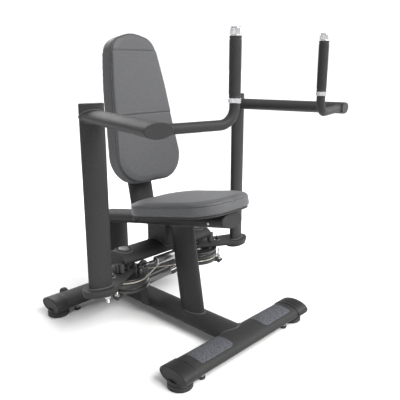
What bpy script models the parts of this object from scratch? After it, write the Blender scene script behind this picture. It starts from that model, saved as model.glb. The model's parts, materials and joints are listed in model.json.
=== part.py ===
# Seated chest fly machine. Two arms swing on upright pivots under the seat, tied by
# crossed cables and damped by two hydraulic cylinders. Metres, +Z up, front towards -Y.
import math

import bmesh
import bpy
from mathutils import Matrix, Vector

# ---- general ----
GAP = 0.0003             # air left between touching pieces
SIDES = 32               # facets round an oval tube
ROD_SIDES = 16           # facets round a pin or bolt
WALL = 0.003             # wall of the frame tubes

# ---- foot bars and main beam, 120 x 57 mm oval tube ----
FOOT_BAR_LENGTH = 0.706  # over the end caps
FRONT_BAR_Y = -0.355
REAR_BAR_Y = 0.395
FOOT_BAR_Z = 0.0505
FRAME_HALF_WIDE = 0.060
FRAME_HALF_THIN = 0.0285
BEAM_Z = 0.048

# ---- end caps with round feet ----
CAP_SLEEVE = 0.060       # how far a cap covers its tube
CAP_END = 0.006
CAP_HALF_WIDE = 0.0640
CAP_HALF_THIN = 0.0305
FOOT_RADIUS = 0.0445
FOOT_INSET = 0.037       # foot centre in from the cap's end
FOOT_HEIGHT = 0.026

# ---- anti-slip strips ----
STRIP_INNER_X = 0.093
STRIP_LENGTH = 0.169
STRIP_THICK = 0.0015
STRIP_HALF_ANGLE = math.radians(44)

# ---- seat tube, post and legs ----
SEAT_TUBE_HALF_WIDE = 0.055
SEAT_TUBE_HALF_THIN = 0.0285
SEAT_TUBE_Z = 0.4432     # centre height at y = 0
SEAT_TILT = math.radians(10.0)
SEAT_TUBE_FRONT_Y = -0.2976
SEAT_TUBE_REAR_Y = REAR_BAR_Y + 0.037
TUBE_CAP_THICK = 0.003
SEAT_POST_FOOT_Y = -0.099
SEAT_POST_HEAD_Y = -0.036
REAR_LEG_Y = REAR_BAR_Y - 0.005

# ---- seat pad and board ----
SEAT_LIFT = 0.0375       # pad underside above the tube's centre line
SEAT_PAD_THICK = 0.050
SEAT_BOARD_THICK = 0.0080
SEAT_FRONT = -0.329      # along the tilted seat
SEAT_REAR = 0.131
SEAT_FRONT_HALF = 0.146
SEAT_REAR_HALF = 0.180
SEAT_FRONT_CORNER = 0.105
SEAT_REAR_CORNER = 0.105
BOARD_INSET = 0.020

# ---- back pad, board and post ----
BACK_LEAN = math.radians(11.3)
BACK_FOOT_Y = 0.113      # pad's lower edge, front face
BACK_FOOT_Z = 0.575
BACK_PAD_THICK = 0.064
BACK_BOARD_THICK = 0.010
BACK_HEIGHT = 0.603
BACK_FOOT_HALF = 0.184
BACK_FOOT_CORNER = 0.115
BACK_RIB_HALF = 0.1445
BACK_RIB_HEIGHT = 0.400
BACK_RIB_CORNER = 1.500
BACK_HEAD_HALF = 0.113
BACK_HEAD_HEIGHT = 0.578
BACK_HEAD_CORNER = 0.075
BACK_CROWN_RISE = 0.007   # the crown's sharp corner, before it is rounded, above the pad's height
BACK_CROWN_CORNER = 0.150
BACK_POST_TOP = 0.440    # above the pad's lower edge

# ---- cross beam and pivots ----
PIVOT_X = 0.2006
PIVOT_Y = 0.0826
CROSS_Z = 0.312
CROSS_HALF_LENGTH = PIVOT_X + 0.0424
HANGER_HALF_X = 0.030
HANGER_HALF_Y = 0.056
HOUSING_RADIUS = 0.035
HOUSING_BORE = 0.026
HOUSING_TOP = 0.3435
HOUSING_FOOT = 0.2800
PIVOT_CAP_RADIUS = 0.0205
PIVOT_CAP_THICK = 0.0040
SHAFT_RADIUS = 0.0150
RUNNING = 0.0003         # radial clearance of what turns

# ---- pulley discs and cables ----
DISC_RADIUS = 0.097
DISC_TOP = 0.2476
DISC_THICK = 0.0539
GROOVE_DEPTH = 0.0080
GROOVE_HALF = 0.0050
UPPER_GROOVE_Z = 0.2356
LOWER_GROOVE_Z = 0.2106
CABLE_RADIUS = 0.0025
STUD_REACH = DISC_RADIUS + 0.010
STUD_RADIUS = 0.0055
STUD_TURN = {"left": math.radians(35), "right": math.radians(51)}

# ---- arms ----
POST_X = 0.378
POST_Y = -0.006
ARM_HALF_WIDE = 0.0440
ARM_HALF_THIN = 0.0220
POST_TURN = math.radians(14.7)
POST_FOOT = 0.2680
POST_TOP = 0.9157
POST_CAP_THICK = 0.003
LEVER_THICK = 0.0140
LEVER_HUB = 0.045
FLANGE_MARGIN = 0.024    # flange past the post all round
COLLAR_THICK = 0.0120
TAB_THICK = 0.0080
BAR_Z = 0.8769
BAR_SPLAY = math.radians(13.57)
BAR_LENGTH = 0.4641      # post centre to the bar's end
BAR_CAP_THICK = 0.003
HANDLE_ALONG = BAR_LENGTH - 0.0219
HANDLE_ACROSS = 0.2555   # bar centre line to the grip
HANDLE_RADIUS = 0.0150
HANDLE_BEND = 0.050
GRIP_FOOT = 0.9515
GRIP_TOP = 1.1180
GRIP_RADIUS = 0.0173
GRIP_CAP_TOP = 1.1425
GRIP_CAP_RADIUS = 0.0165

# ---- hydraulic cylinders ----
PIN_REACH = 0.066        # rod pin from its arm's pivot
PIN_RADIUS = 0.0080
BARREL_RADIUS = 0.0175
BARREL_LENGTH = 0.165    # from behind the eye to the gland
BARREL_FLOOR = 0.012     # closed end behind the bore
ROD_RADIUS = 0.0065
UPPER_ROD_INSIDE = 0.085 # this rod mostly comes out
LOWER_ROD_INSIDE = 0.062 # this rod mostly goes in
EYE_RADIUS = 0.0140
EYE_THICK = 0.0120
UPPER_ANCHOR = (0.090, 0.028)
UPPER_AXIS_Z = 0.276
UPPER_PIN_TURN = math.radians(-60)
LOWER_ANCHOR = (-0.090, 0.114)
LOWER_AXIS_Z = 0.152
LOWER_PIN_TURN = math.radians(75)
TONGUE_THICK = 0.006

# ---- transport wheels ----
WHEEL_RADIUS = 0.028
WHEEL_WIDTH = 0.024
WHEEL_X = 0.235
WHEEL_Z = 0.0345
WHEEL_AIR = 0.003
AXLE_RADIUS = 0.0050
BRACKET_THICK = 0.006

X_AXIS = Vector((1, 0, 0))
Y_AXIS = Vector((0, 1, 0))
Z_AXIS = Vector((0, 0, 1))
SIGN = {"left": -1, "right": 1}


# ---------------------------------------------------------------- scene helpers
def clear_scene():
    for old in list(bpy.data.objects):
        bpy.data.objects.remove(old)


def new_collection(name):
    made = bpy.data.collections.new(name)
    bpy.context.scene.collection.children.link(made)
    return made


def finish_material(name, colour, roughness, metallic):
    made = bpy.data.materials.new(name)
    made.use_nodes = True
    shader = made.node_tree.nodes["Principled BSDF"]
    shader.inputs["Base Color"].default_value = (*colour, 1)
    shader.inputs["Roughness"].default_value = roughness
    shader.inputs["Metallic"].default_value = metallic
    return made


def add_object(name, data, finish=None, rest=None):
    """Links a part, with its own copy of a finish, under an optional empty."""
    made = bpy.data.objects.new(name, data)
    parts.objects.link(made)
    if finish:
        own = finish.copy()
        own.name = name + "_finish"
        data.materials.append(own)
    if rest:
        made.parent = rest
        made.matrix_parent_inverse = Matrix.Translation(rest.location).inverted()
    return made


def as_cutter(shape):
    parts.objects.unlink(shape)
    cutters.objects.link(shape)
    shape.hide_render = True
    shape.display_type = "WIRE"
    return shape


def boolean(shape, other, operation):
    step = shape.modifiers.new(operation.lower(), "BOOLEAN")
    step.operation = operation
    step.solver = "EXACT"
    step.object = as_cutter(other) if other.name in parts.objects else other


def pivot_empty(name, place):
    made = bpy.data.objects.new(name, None)
    made.location = place
    parts.objects.link(made)
    return made


def axes_at(origin, along, wide):
    """Matrix whose Z runs along a direction and whose X lies towards wide."""
    z = Vector(along).normalized()
    x = (Vector(wide) - z * z.dot(Vector(wide))).normalized()
    y = z.cross(x)
    turn = Matrix((x, y, z)).transposed().to_4x4()
    return Matrix.Translation(origin) @ turn


# ---------------------------------------------------------------- shape helpers
def mesh_from(name, build):
    mesh = bpy.data.meshes.new(name)
    work = bmesh.new()
    build(work)
    work.to_mesh(mesh)
    work.free()
    return mesh


def oval(name, start, end, wide, half_wide, half_thin, finish=None, rest=None, capped=True,
         sides=SIDES):
    """Oval cylinder between two points, its long axis towards wide."""
    start, end = Vector(start), Vector(end)
    length = (end - start).length

    def build(work):
        bmesh.ops.create_cone(work, cap_ends=capped, segments=sides,
                              radius1=1, radius2=1, depth=length)
        bmesh.ops.scale(work, vec=(half_wide, half_thin, 1), verts=work.verts)
        bmesh.ops.translate(work, vec=(0, 0, length / 2), verts=work.verts)

    made = add_object(name, mesh_from(name, build), finish, rest)
    place = axes_at(start, end - start, wide)
    if rest:
        place = Matrix.Translation(rest.location).inverted() @ place
        made.matrix_parent_inverse = Matrix.Identity(4)
    made.matrix_basis = place
    return made


def tube(name, start, end, wide, half_wide, half_thin, finish, rest=None):
    """Hollow oval tube, open at both ends."""
    made = oval(name, start, end, wide, half_wide, half_thin, finish, rest, capped=False)
    wall = made.modifiers.new("wall", "SOLIDIFY")
    wall.thickness = WALL
    wall.offset = -1
    wall.use_even_offset = True
    smooth(made)
    return made


def rod(name, start, end, radius, finish=None, rest=None, sides=ROD_SIDES):
    return oval(name, start, end, perpendicular(Vector(end) - Vector(start)),
                radius, radius, finish, rest, sides=sides)


def perpendicular(along):
    return Y_AXIS if abs(along.normalized().dot(X_AXIS)) > 0.9 else X_AXIS


def box(name, low, high, finish=None, rest=None):
    low, high = Vector(low), Vector(high)

    def build(work):
        bmesh.ops.create_cube(work, size=1)
        bmesh.ops.scale(work, vec=high - low, verts=work.verts)
        bmesh.ops.translate(work, vec=(low + high) / 2, verts=work.verts)

    return add_object(name, mesh_from(name, build), finish, rest)


def turned(name, profile, place, finish, rest=None, steps=SIDES, axis=Z_AXIS):
    """Turned solid from a closed profile of radius and height pairs."""
    mesh = bpy.data.meshes.new(name)
    points = [(radius, 0, height) for radius, height in profile]
    on_axis = profile[0][0] == 0
    count = len(points)
    edges = [(n, n + 1) for n in range(count - 1)]
    if not on_axis:
        edges.append((count - 1, 0))
    mesh.from_pydata(points, edges, [])
    made = add_object(name, mesh, finish, rest)
    place = axes_at(place, axis, perpendicular(axis))
    if rest:
        place = Matrix.Translation(rest.location).inverted() @ place
        made.matrix_parent_inverse = Matrix.Identity(4)
    made.matrix_basis = place
    spin = made.modifiers.new("turn", "SCREW")
    spin.axis = "Z"
    spin.steps = steps
    spin.render_steps = steps
    spin.use_merge_vertices = True
    spin.merge_threshold = 0.00005
    spin.use_smooth_shade = True
    return made


def ring_profile(outer, inner, low, high):
    return [(outer, high), (outer, low), (inner, low), (inner, high)]


def smooth(shape):
    shape.data.shade_smooth()
    shape.data.set_sharp_from_angle(angle=math.radians(40))


def arc_points(centre, radius, start, end, steps):
    return [centre + Vector((math.cos(a), math.sin(a))) * radius
            for a in (start + (end - start) * n / steps for n in range(steps + 1))]


def rounded_outline(corners, steps=6):
    """Closed outline from corners given as x, y and fillet radius, anticlockwise."""
    outline = []
    count = len(corners)
    for n in range(count):
        here = Vector(corners[n][:2])
        back = (Vector(corners[n - 1][:2]) - here).normalized()
        ahead = (Vector(corners[(n + 1) % count][:2]) - here).normalized()
        half = back.angle(ahead) / 2
        centre = here + (back + ahead).normalized() * corners[n][2] / math.sin(half)
        first = here + back * corners[n][2] / math.tan(half) - centre
        sweep = math.pi - 2 * half
        start = math.atan2(first.y, first.x)
        outline += arc_points(centre, corners[n][2], start, start + sweep, steps)
    return outline


def hull(points):
    """Convex outline round loose points, anticlockwise."""
    ordered = sorted((p.x, p.y) for p in points)

    def half(run):
        kept = []
        for p in run:
            while len(kept) > 1 and turn_of(kept[-2], kept[-1], p) <= 1e-9:
                kept.pop()
            kept.append(p)
        return kept[:-1]

    return [Vector(p) for p in half(ordered) + half(reversed(ordered))]


def turn_of(a, b, c):
    return (b[0] - a[0]) * (c[1] - a[1]) - (b[1] - a[1]) * (c[0] - a[0])


def to_mesh(shape, finish=None, rest=None):
    """Replaces a curve by its mesh, with its caps welded."""
    bpy.context.view_layer.update()
    evaluated = shape.evaluated_get(bpy.context.evaluated_depsgraph_get())
    mesh = bpy.data.meshes.new_from_object(evaluated)
    place = shape.matrix_world.copy()
    name = shape.name
    bpy.data.objects.remove(shape)
    work = bmesh.new()
    work.from_mesh(mesh)
    bmesh.ops.remove_doubles(work, verts=work.verts, dist=0.00001)
    work.to_mesh(mesh)
    work.free()
    mesh.materials.clear()
    made = add_object(name, mesh, finish, rest)
    made.name = name
    made.matrix_basis = place
    return made


def plate(name, outline, low, high, finish=None, rest=None, place=None):
    """Flat plate with the outline in X and Y, between two heights."""
    curve = bpy.data.curves.new(name, "CURVE")
    curve.dimensions = "2D"
    curve.fill_mode = "BOTH"
    curve.extrude = (high - low) / 2
    spline = curve.splines.new("POLY")
    spline.points.add(len(outline) - 1)
    for point, at in zip(spline.points, outline):
        point.co = (at.x, at.y, 0, 1)
    spline.use_cyclic_u = True
    flat = add_object(name, curve)
    level = Matrix.Translation((0, 0, (low + high) / 2))
    flat.matrix_basis = place @ level if place else level
    return to_mesh(flat, finish, rest)


def pipe(name, points, radius, finish=None, rest=None, fine=3):
    """Round bar along a smooth run of points."""
    curve = bpy.data.curves.new(name, "CURVE")
    curve.dimensions = "3D"
    curve.bevel_depth = radius
    curve.bevel_resolution = fine
    curve.use_fill_caps = True
    spline = curve.splines.new("POLY")
    spline.points.add(len(points) - 1)
    for point, at in zip(spline.points, points):
        point.co = (*at, 1)
    return to_mesh(add_object(name, curve), finish, rest)


# ---------------------------------------------------------------- shared places
def seat_tube_point(y):
    return Vector((0, y, SEAT_TUBE_Z - y * math.tan(SEAT_TILT)))


def seat_frame(lift):
    """Matrix on the seat's tilt: X right, Y to the rear, Z up from the pad."""
    up = Vector((0, math.sin(SEAT_TILT), math.cos(SEAT_TILT)))
    return axes_at(Vector((0, 0, SEAT_TUBE_Z)) + up * lift, up, X_AXIS)


def back_frame(depth):
    """Matrix on the back's lean: X right, Y up the pad, Z forward, set back by depth."""
    rear = Vector((0, math.cos(BACK_LEAN), -math.sin(BACK_LEAN)))
    origin = Vector((0, BACK_FOOT_Y, BACK_FOOT_Z)) + rear * depth
    return axes_at(origin, -rear, X_AXIS)


def pivot_place(side):
    return Vector((SIGN[side] * PIVOT_X, PIVOT_Y, 0))


def post_place(side):
    return Vector((SIGN[side] * POST_X, POST_Y, 0))


def post_wide(side):
    return Vector((SIGN[side] * math.cos(POST_TURN), math.sin(POST_TURN), 0))


def bar_along(side):
    return Vector((SIGN[side] * math.sin(BAR_SPLAY), -math.cos(BAR_SPLAY), 0))


def bar_inward(side):
    return Vector((-SIGN[side] * math.cos(BAR_SPLAY), -math.sin(BAR_SPLAY), 0))


def pin_place(side, turn):
    return pivot_place(side) + Vector((math.cos(turn), math.sin(turn), 0)) * PIN_REACH


# ---------------------------------------------------------------- frame
def foot_bar(name, y):
    half = FOOT_BAR_LENGTH / 2 - CAP_END - GAP
    return tube(name, (-half, y, FOOT_BAR_Z), (half, y, FOOT_BAR_Z), Y_AXIS,
                FRAME_HALF_WIDE, FRAME_HALF_THIN, frame_paint)


def cope(shape, start, end, wide, half_wide, half_thin):
    """Fits a tube's end round another tube, with the usual gap."""
    cutter = oval(shape.name + "_cope", start, end, wide, half_wide + GAP, half_thin + GAP)
    boolean(shape, cutter, "DIFFERENCE")


def cope_foot_bar(shape, y):
    cope(shape, (-0.2, y, FOOT_BAR_Z), (0.2, y, FOOT_BAR_Z), Y_AXIS,
         FRAME_HALF_WIDE, FRAME_HALF_THIN)


def cope_seat_tube(shape):
    cope(shape, seat_tube_point(SEAT_TUBE_FRONT_Y), seat_tube_point(SEAT_TUBE_REAR_Y + 0.1),
         X_AXIS, SEAT_TUBE_HALF_WIDE, SEAT_TUBE_HALF_THIN)


def base_frame():
    foot_bar("front_foot_tube", FRONT_BAR_Y)
    foot_bar("rear_foot_tube", REAR_BAR_Y)
    beam = tube("main_beam", (0, FRONT_BAR_Y, BEAM_Z), (0, REAR_BAR_Y, BEAM_Z), X_AXIS,
                FRAME_HALF_WIDE, FRAME_HALF_THIN, frame_paint)
    cope_foot_bar(beam, FRONT_BAR_Y)
    cope_foot_bar(beam, REAR_BAR_Y)


def end_cap(name, side, y):
    """Moulded cap over a foot bar's end, with its round foot."""
    sign = SIGN[side]
    end = sign * FOOT_BAR_LENGTH / 2
    inner = end - sign * (CAP_SLEEVE + CAP_END)
    cap = oval(name, (inner, y, FOOT_BAR_Z), (end, y, FOOT_BAR_Z), Y_AXIS,
               CAP_HALF_WIDE, CAP_HALF_THIN, cap_plastic)
    centre = end - sign * FOOT_INSET
    foot = rod(name + "_foot", (centre, y, 0), (centre, y, FOOT_HEIGHT), FOOT_RADIUS, sides=SIDES)
    boolean(cap, foot, "UNION")
    bore_end = end - sign * CAP_END
    bore = oval(name + "_bore", (inner - sign * 0.1, y, FOOT_BAR_Z), (bore_end, y, FOOT_BAR_Z),
                Y_AXIS, FRAME_HALF_WIDE + GAP, FRAME_HALF_THIN + GAP)
    boolean(cap, bore, "DIFFERENCE")
    smooth(cap)


def grip_strip(name, side):
    """Granular strip that follows the front bar's rounded top."""
    start = STRIP_INNER_X
    profile = []
    for n in range(9):
        a = STRIP_HALF_ANGLE * (1 - 2 * n / 8)
        profile.append((math.sin(a), math.cos(a)))
    outer = [(s * (FRAME_HALF_WIDE + GAP + STRIP_THICK), c * (FRAME_HALF_THIN + GAP + STRIP_THICK))
             for s, c in profile]
    inner = [(s * (FRAME_HALF_WIDE + GAP), c * (FRAME_HALF_THIN + GAP))
             for s, c in reversed(profile)]
    outline = [Vector(p) for p in outer + inner]
    middle = SIGN[side] * (start + STRIP_LENGTH / 2)
    place = axes_at((middle, FRONT_BAR_Y, FOOT_BAR_Z), X_AXIS, Y_AXIS)
    plate(name, outline, -STRIP_LENGTH / 2, STRIP_LENGTH / 2, strip_grit, place=place)


def seat_tube_and_posts():
    low = seat_tube_point(SEAT_TUBE_FRONT_Y)
    high = seat_tube_point(SEAT_TUBE_REAR_Y)
    tube("seat_tube", low, high, X_AXIS, SEAT_TUBE_HALF_WIDE, SEAT_TUBE_HALF_THIN, frame_paint)
    forward = (low - high).normalized()
    oval("seat_tube_cap", low + forward * GAP, low + forward * (GAP + TUBE_CAP_THICK), X_AXIS,
         SEAT_TUBE_HALF_WIDE, SEAT_TUBE_HALF_THIN, frame_paint)

    foot = Vector((0, SEAT_POST_FOOT_Y, BEAM_Z + FRAME_HALF_THIN))
    head = seat_tube_point(SEAT_POST_HEAD_Y)
    along = (head - foot).normalized()
    post = tube("seat_post", foot - along * FRAME_HALF_THIN, head, Y_AXIS,
                FRAME_HALF_WIDE, FRAME_HALF_THIN, frame_paint)
    cope_seat_tube(post)
    cope(post, (0, -0.3, BEAM_Z), (0, 0.3, BEAM_Z), X_AXIS, FRAME_HALF_WIDE, FRAME_HALF_THIN)

    leg = tube("rear_leg", (0, REAR_LEG_Y, FOOT_BAR_Z), seat_tube_point(REAR_LEG_Y), X_AXIS,
               FRAME_HALF_WIDE, FRAME_HALF_THIN, frame_paint)
    cope_seat_tube(leg)
    cope_foot_bar(leg, REAR_BAR_Y)
    cope(leg, (0, 0.2, BEAM_Z), (0, 0.6, BEAM_Z), X_AXIS, FRAME_HALF_WIDE, FRAME_HALF_THIN)


def cross_beam_and_hanger():
    beam = tube("cross_beam", (-CROSS_HALF_LENGTH, PIVOT_Y, CROSS_Z),
                (CROSS_HALF_LENGTH, PIVOT_Y, CROSS_Z), Y_AXIS,
                FRAME_HALF_WIDE, FRAME_HALF_THIN, frame_paint)
    for side in SIGN:
        at = pivot_place(side)
        hole = rod("cross_beam_hole_" + side, at + Z_AXIS * 0.2, at + Z_AXIS * 0.4,
                   HOUSING_RADIUS + 2 * GAP, sides=SIDES)
        boolean(beam, hole, "DIFFERENCE")

    top = seat_tube_point(PIVOT_Y).z
    hanger = box("hanger", (-HANGER_HALF_X, PIVOT_Y - HANGER_HALF_Y, CROSS_Z),
                 (HANGER_HALF_X, PIVOT_Y + HANGER_HALF_Y, top), frame_paint)
    inner = box("hanger_hollow",
                (WALL - HANGER_HALF_X, PIVOT_Y - HANGER_HALF_Y + WALL, CROSS_Z - 0.05),
                (HANGER_HALF_X - WALL, PIVOT_Y + HANGER_HALF_Y - WALL, top + 0.05))
    boolean(hanger, inner, "DIFFERENCE")
    cope_seat_tube(hanger)
    cope(hanger, (-0.1, PIVOT_Y, CROSS_Z), (0.1, PIVOT_Y, CROSS_Z), Y_AXIS,
         FRAME_HALF_WIDE, FRAME_HALF_THIN)


# ---------------------------------------------------------------- seat and back
def seat():
    corners = [(-SEAT_FRONT_HALF, SEAT_FRONT, SEAT_FRONT_CORNER),
               (SEAT_FRONT_HALF, SEAT_FRONT, SEAT_FRONT_CORNER),
               (SEAT_REAR_HALF, SEAT_REAR, SEAT_REAR_CORNER),
               (-SEAT_REAR_HALF, SEAT_REAR, SEAT_REAR_CORNER)]
    plate("seat_pad", rounded_outline(corners), 0, SEAT_PAD_THICK, pad_leather,
          place=seat_frame(SEAT_LIFT))
    inset = [(x - math.copysign(BOARD_INSET, x), y - math.copysign(BOARD_INSET, y), r - BOARD_INSET)
             for x, y, r in corners]
    plate("seat_board", rounded_outline(inset), -GAP - SEAT_BOARD_THICK, -GAP, board_black,
          place=seat_frame(SEAT_LIFT))


def back():
    right = [(BACK_FOOT_HALF, 0, BACK_FOOT_CORNER), (BACK_RIB_HALF, BACK_RIB_HEIGHT, BACK_RIB_CORNER),
             (BACK_HEAD_HALF, BACK_HEAD_HEIGHT, BACK_HEAD_CORNER)]
    crown = (0, BACK_HEIGHT + BACK_CROWN_RISE, BACK_CROWN_CORNER)
    corners = right + [crown] + [(-x, y, r) for x, y, r in reversed(right)]
    plate("back_pad", rounded_outline(corners), -BACK_PAD_THICK, 0, pad_leather,
          place=back_frame(0))
    middle = BACK_HEIGHT / 2
    inset = [(x - math.copysign(min(BOARD_INSET, abs(x)), x),
              y - math.copysign(BOARD_INSET, y - middle), r - BOARD_INSET) for x, y, r in corners]
    plate("back_board", rounded_outline(inset), -BACK_BOARD_THICK, 0, board_black,
          place=back_frame(BACK_PAD_THICK + GAP))

    depth = BACK_PAD_THICK + BACK_BOARD_THICK + 2 * GAP + FRAME_HALF_THIN
    line = back_frame(depth)
    post = tube("back_post", line @ Vector((0, -0.16, 0)), line @ Vector((0, BACK_POST_TOP, 0)),
                X_AXIS, FRAME_HALF_WIDE, FRAME_HALF_THIN, frame_paint)
    cope_seat_tube(post)


# ---------------------------------------------------------------- pivots
def pivot(side):
    at = pivot_place(side)
    bush_outer = HOUSING_BORE - GAP
    turned("pivot_housing_" + side,
           ring_profile(HOUSING_RADIUS, HOUSING_BORE, HOUSING_FOOT, HOUSING_TOP),
           at, frame_paint)
    cap_low = HOUSING_TOP + GAP
    bush_top = HOUSING_TOP - PIVOT_CAP_THICK
    turned("pivot_bush_" + side,
           ring_profile(bush_outer, SHAFT_RADIUS + RUNNING, HOUSING_FOOT, bush_top),
           at, bush_bronze)
    turned("pivot_cap_" + side,
           [(0, cap_low + PIVOT_CAP_THICK), (PIVOT_CAP_RADIUS * 0.85, cap_low + PIVOT_CAP_THICK),
            (PIVOT_CAP_RADIUS, cap_low + PIVOT_CAP_THICK * 0.6), (PIVOT_CAP_RADIUS, cap_low - 0.002),
            (0, cap_low - 0.002)],
           at, cap_grey)


# ---------------------------------------------------------------- arms
def disc_profile():
    """Two cable grooves in a thick rim round a bored hub."""
    bore = SHAFT_RADIUS + GAP
    low = DISC_TOP - DISC_THICK
    root = DISC_RADIUS - GROOVE_DEPTH
    hub_top = POST_FOOT - LEVER_THICK - 2 * GAP
    profile = [(LEVER_HUB, hub_top), (LEVER_HUB, DISC_TOP), (DISC_RADIUS, DISC_TOP)]
    for z in (UPPER_GROOVE_Z, LOWER_GROOVE_Z):
        profile += [(DISC_RADIUS, z + GROOVE_HALF), (root, z + GROOVE_HALF * 0.6),
                    (root, z - GROOVE_HALF * 0.6), (DISC_RADIUS, z - GROOVE_HALF)]
    return profile + [(DISC_RADIUS, low), (bore, low), (bore, hub_top)]


def pulley_disc(side, rest):
    disc = turned("pulley_disc_" + side, disc_profile(), pivot_place(side), disc_black, rest,
                  steps=40)
    upper = side == "left"
    turn = UPPER_PIN_TURN if upper else LOWER_PIN_TURN
    axis_z = UPPER_AXIS_Z if upper else LOWER_AXIS_Z
    at = pin_place(side, turn)
    if upper:
        ends = (DISC_TOP - 0.004, axis_z - EYE_THICK / 2 - GAP)
    else:
        ends = (axis_z + EYE_THICK / 2 + GAP, DISC_TOP - DISC_THICK + 0.006)
    stud = rod("pulley_stud_" + side, at + Z_AXIS * ends[0], at + Z_AXIS * ends[1], PIN_RADIUS)
    boolean(disc, stud, "UNION")


def flange_points(side, margin):
    wide = post_wide(side)
    thin = Z_AXIS.cross(wide)
    at = post_place(side)
    return [at + wide * (ARM_HALF_WIDE + margin) * math.cos(a)
            + thin * (ARM_HALF_THIN + margin) * math.sin(a)
            for a in (2 * math.pi * n / SIDES for n in range(SIDES))]


def circle_points(at, radius, count=28):
    return [at + Vector((math.cos(a), math.sin(a), 0)) * radius
            for a in (2 * math.pi * n / count for n in range(count))]


def lever(side, rest):
    """Lever plate from the pivot out to the post, with the collar under its end."""
    at = pivot_place(side)
    low = POST_FOOT - GAP - LEVER_THICK
    outline = hull(flange_points(side, FLANGE_MARGIN) + circle_points(at, LEVER_HUB))
    arm = plate("lever_plate_" + side, outline, low, POST_FOOT - GAP, frame_paint, rest)
    collar_line = hull(flange_points(side, FLANGE_MARGIN - 0.004))
    collar = plate("collar_" + side, collar_line, low - COLLAR_THICK, low + 0.004)
    boolean(arm, collar, "UNION")
    hole = rod("lever_hole_" + side, at + Z_AXIS * 0.2, at + Z_AXIS * 0.3, SHAFT_RADIUS + GAP)
    boolean(arm, hole, "DIFFERENCE")


def stud_place(side):
    turn = STUD_TURN[side]
    return pivot_place(side) + Vector((SIGN[side] * math.cos(turn), -math.sin(turn), 0)) * STUD_REACH


def cable_tab(side, rest):
    """Lower tab under the disc, with the upright stud that holds the cable's end."""
    at = pivot_place(side)
    stud_at = stud_place(side)
    top = DISC_TOP - DISC_THICK - GAP
    tab_low = top - TAB_THICK
    outline = hull(circle_points(at, 0.030) + circle_points(stud_at, 0.016))
    tab = plate("cable_tab_" + side, outline, tab_low, top, frame_paint, rest)
    hole = rod("tab_hole_" + side, at + Z_AXIS * 0.15, at + Z_AXIS * 0.3, SHAFT_RADIUS + GAP)
    boolean(tab, hole, "DIFFERENCE")
    stud_top = POST_FOOT - LEVER_THICK - COLLAR_THICK - 3 * GAP
    stud = rod("stud_" + side, stud_at + Z_AXIS * (tab_low - 0.008), stud_at + Z_AXIS * stud_top,
               STUD_RADIUS)
    nut = rod("stud_nut_" + side, stud_at + Z_AXIS * (tab_low - 0.012),
              stud_at + Z_AXIS * (tab_low + 0.002), STUD_RADIUS * 1.7)
    boolean(tab, stud, "UNION")
    boolean(tab, nut, "UNION")


def shaft(side, rest):
    at = pivot_place(side)
    top = HOUSING_TOP - PIVOT_CAP_THICK
    low = DISC_TOP - DISC_THICK - TAB_THICK - 0.004
    rod("pivot_shaft_" + side, at + Z_AXIS * low, at + Z_AXIS * top, SHAFT_RADIUS, steel, rest)


def arm_post(side, rest):
    at = post_place(side)
    wide = post_wide(side)
    tube("arm_post_" + side, at + Z_AXIS * POST_FOOT, at + Z_AXIS * POST_TOP, wide,
         ARM_HALF_WIDE, ARM_HALF_THIN, frame_paint, rest)
    cap_low = POST_TOP + GAP
    oval("post_cap_" + side, at + Z_AXIS * cap_low, at + Z_AXIS * (cap_low + POST_CAP_THICK), wide,
         ARM_HALF_WIDE, ARM_HALF_THIN, frame_paint, rest)


def arm_bar(side, rest):
    start = post_place(side) + Z_AXIS * BAR_Z
    along = bar_along(side)
    end = start + along * (BAR_LENGTH - BAR_CAP_THICK - GAP)
    bar = tube("arm_bar_" + side, start, end, bar_inward(side), ARM_HALF_WIDE, ARM_HALF_THIN,
               frame_paint, rest)
    cope(bar, post_place(side) + Z_AXIS * 0.7, post_place(side) + Z_AXIS * 1.1, post_wide(side),
         ARM_HALF_WIDE, ARM_HALF_THIN)
    oval("bar_cap_" + side, end + along * GAP, end + along * (GAP + BAR_CAP_THICK),
         bar_inward(side), ARM_HALF_WIDE, ARM_HALF_THIN, frame_paint, rest)


def handle(side, rest):
    inward = bar_inward(side)
    root = post_place(side) + bar_along(side) * HANDLE_ALONG + Z_AXIS * BAR_Z
    corner = root + inward * HANDLE_ACROSS
    centre = corner - inward * HANDLE_BEND + Z_AXIS * HANDLE_BEND
    steps = 8
    points = [root]
    for n in range(steps + 1):
        a = math.pi / 2 * n / steps
        points.append(centre + inward * HANDLE_BEND * math.sin(a) - Z_AXIS * HANDLE_BEND * math.cos(a))
    top = corner.copy()
    top.z = GRIP_TOP - GAP
    points.append(top)
    tube_made = pipe("handle_tube_" + side, points, HANDLE_RADIUS, frame_paint, rest)
    start = post_place(side) + Z_AXIS * BAR_Z
    cope(tube_made, start, start + bar_along(side) * 0.6, inward, ARM_HALF_WIDE, ARM_HALF_THIN)
    smooth(tube_made)
    foot = Vector((corner.x, corner.y, 0))
    turned("grip_sleeve_" + side,
           ring_profile(GRIP_RADIUS, HANDLE_RADIUS + GAP, GRIP_FOOT, GRIP_TOP),
           foot, grip_rubber, rest, steps=24)
    low = GRIP_TOP + GAP
    turned("grip_cap_" + side,
           [(0, GRIP_CAP_TOP), (GRIP_CAP_RADIUS * 0.9, GRIP_CAP_TOP),
            (GRIP_CAP_RADIUS, GRIP_CAP_TOP - 0.002), (GRIP_CAP_RADIUS, low), (0, low)],
           foot, chrome, rest, steps=24)


def arm(side):
    rest = pivot_empty("arm_pivot_" + side, pivot_place(side))
    shaft(side, rest)
    pulley_disc(side, rest)
    lever(side, rest)
    cable_tab(side, rest)
    arm_post(side, rest)
    arm_bar(side, rest)
    handle(side, rest)


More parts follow.
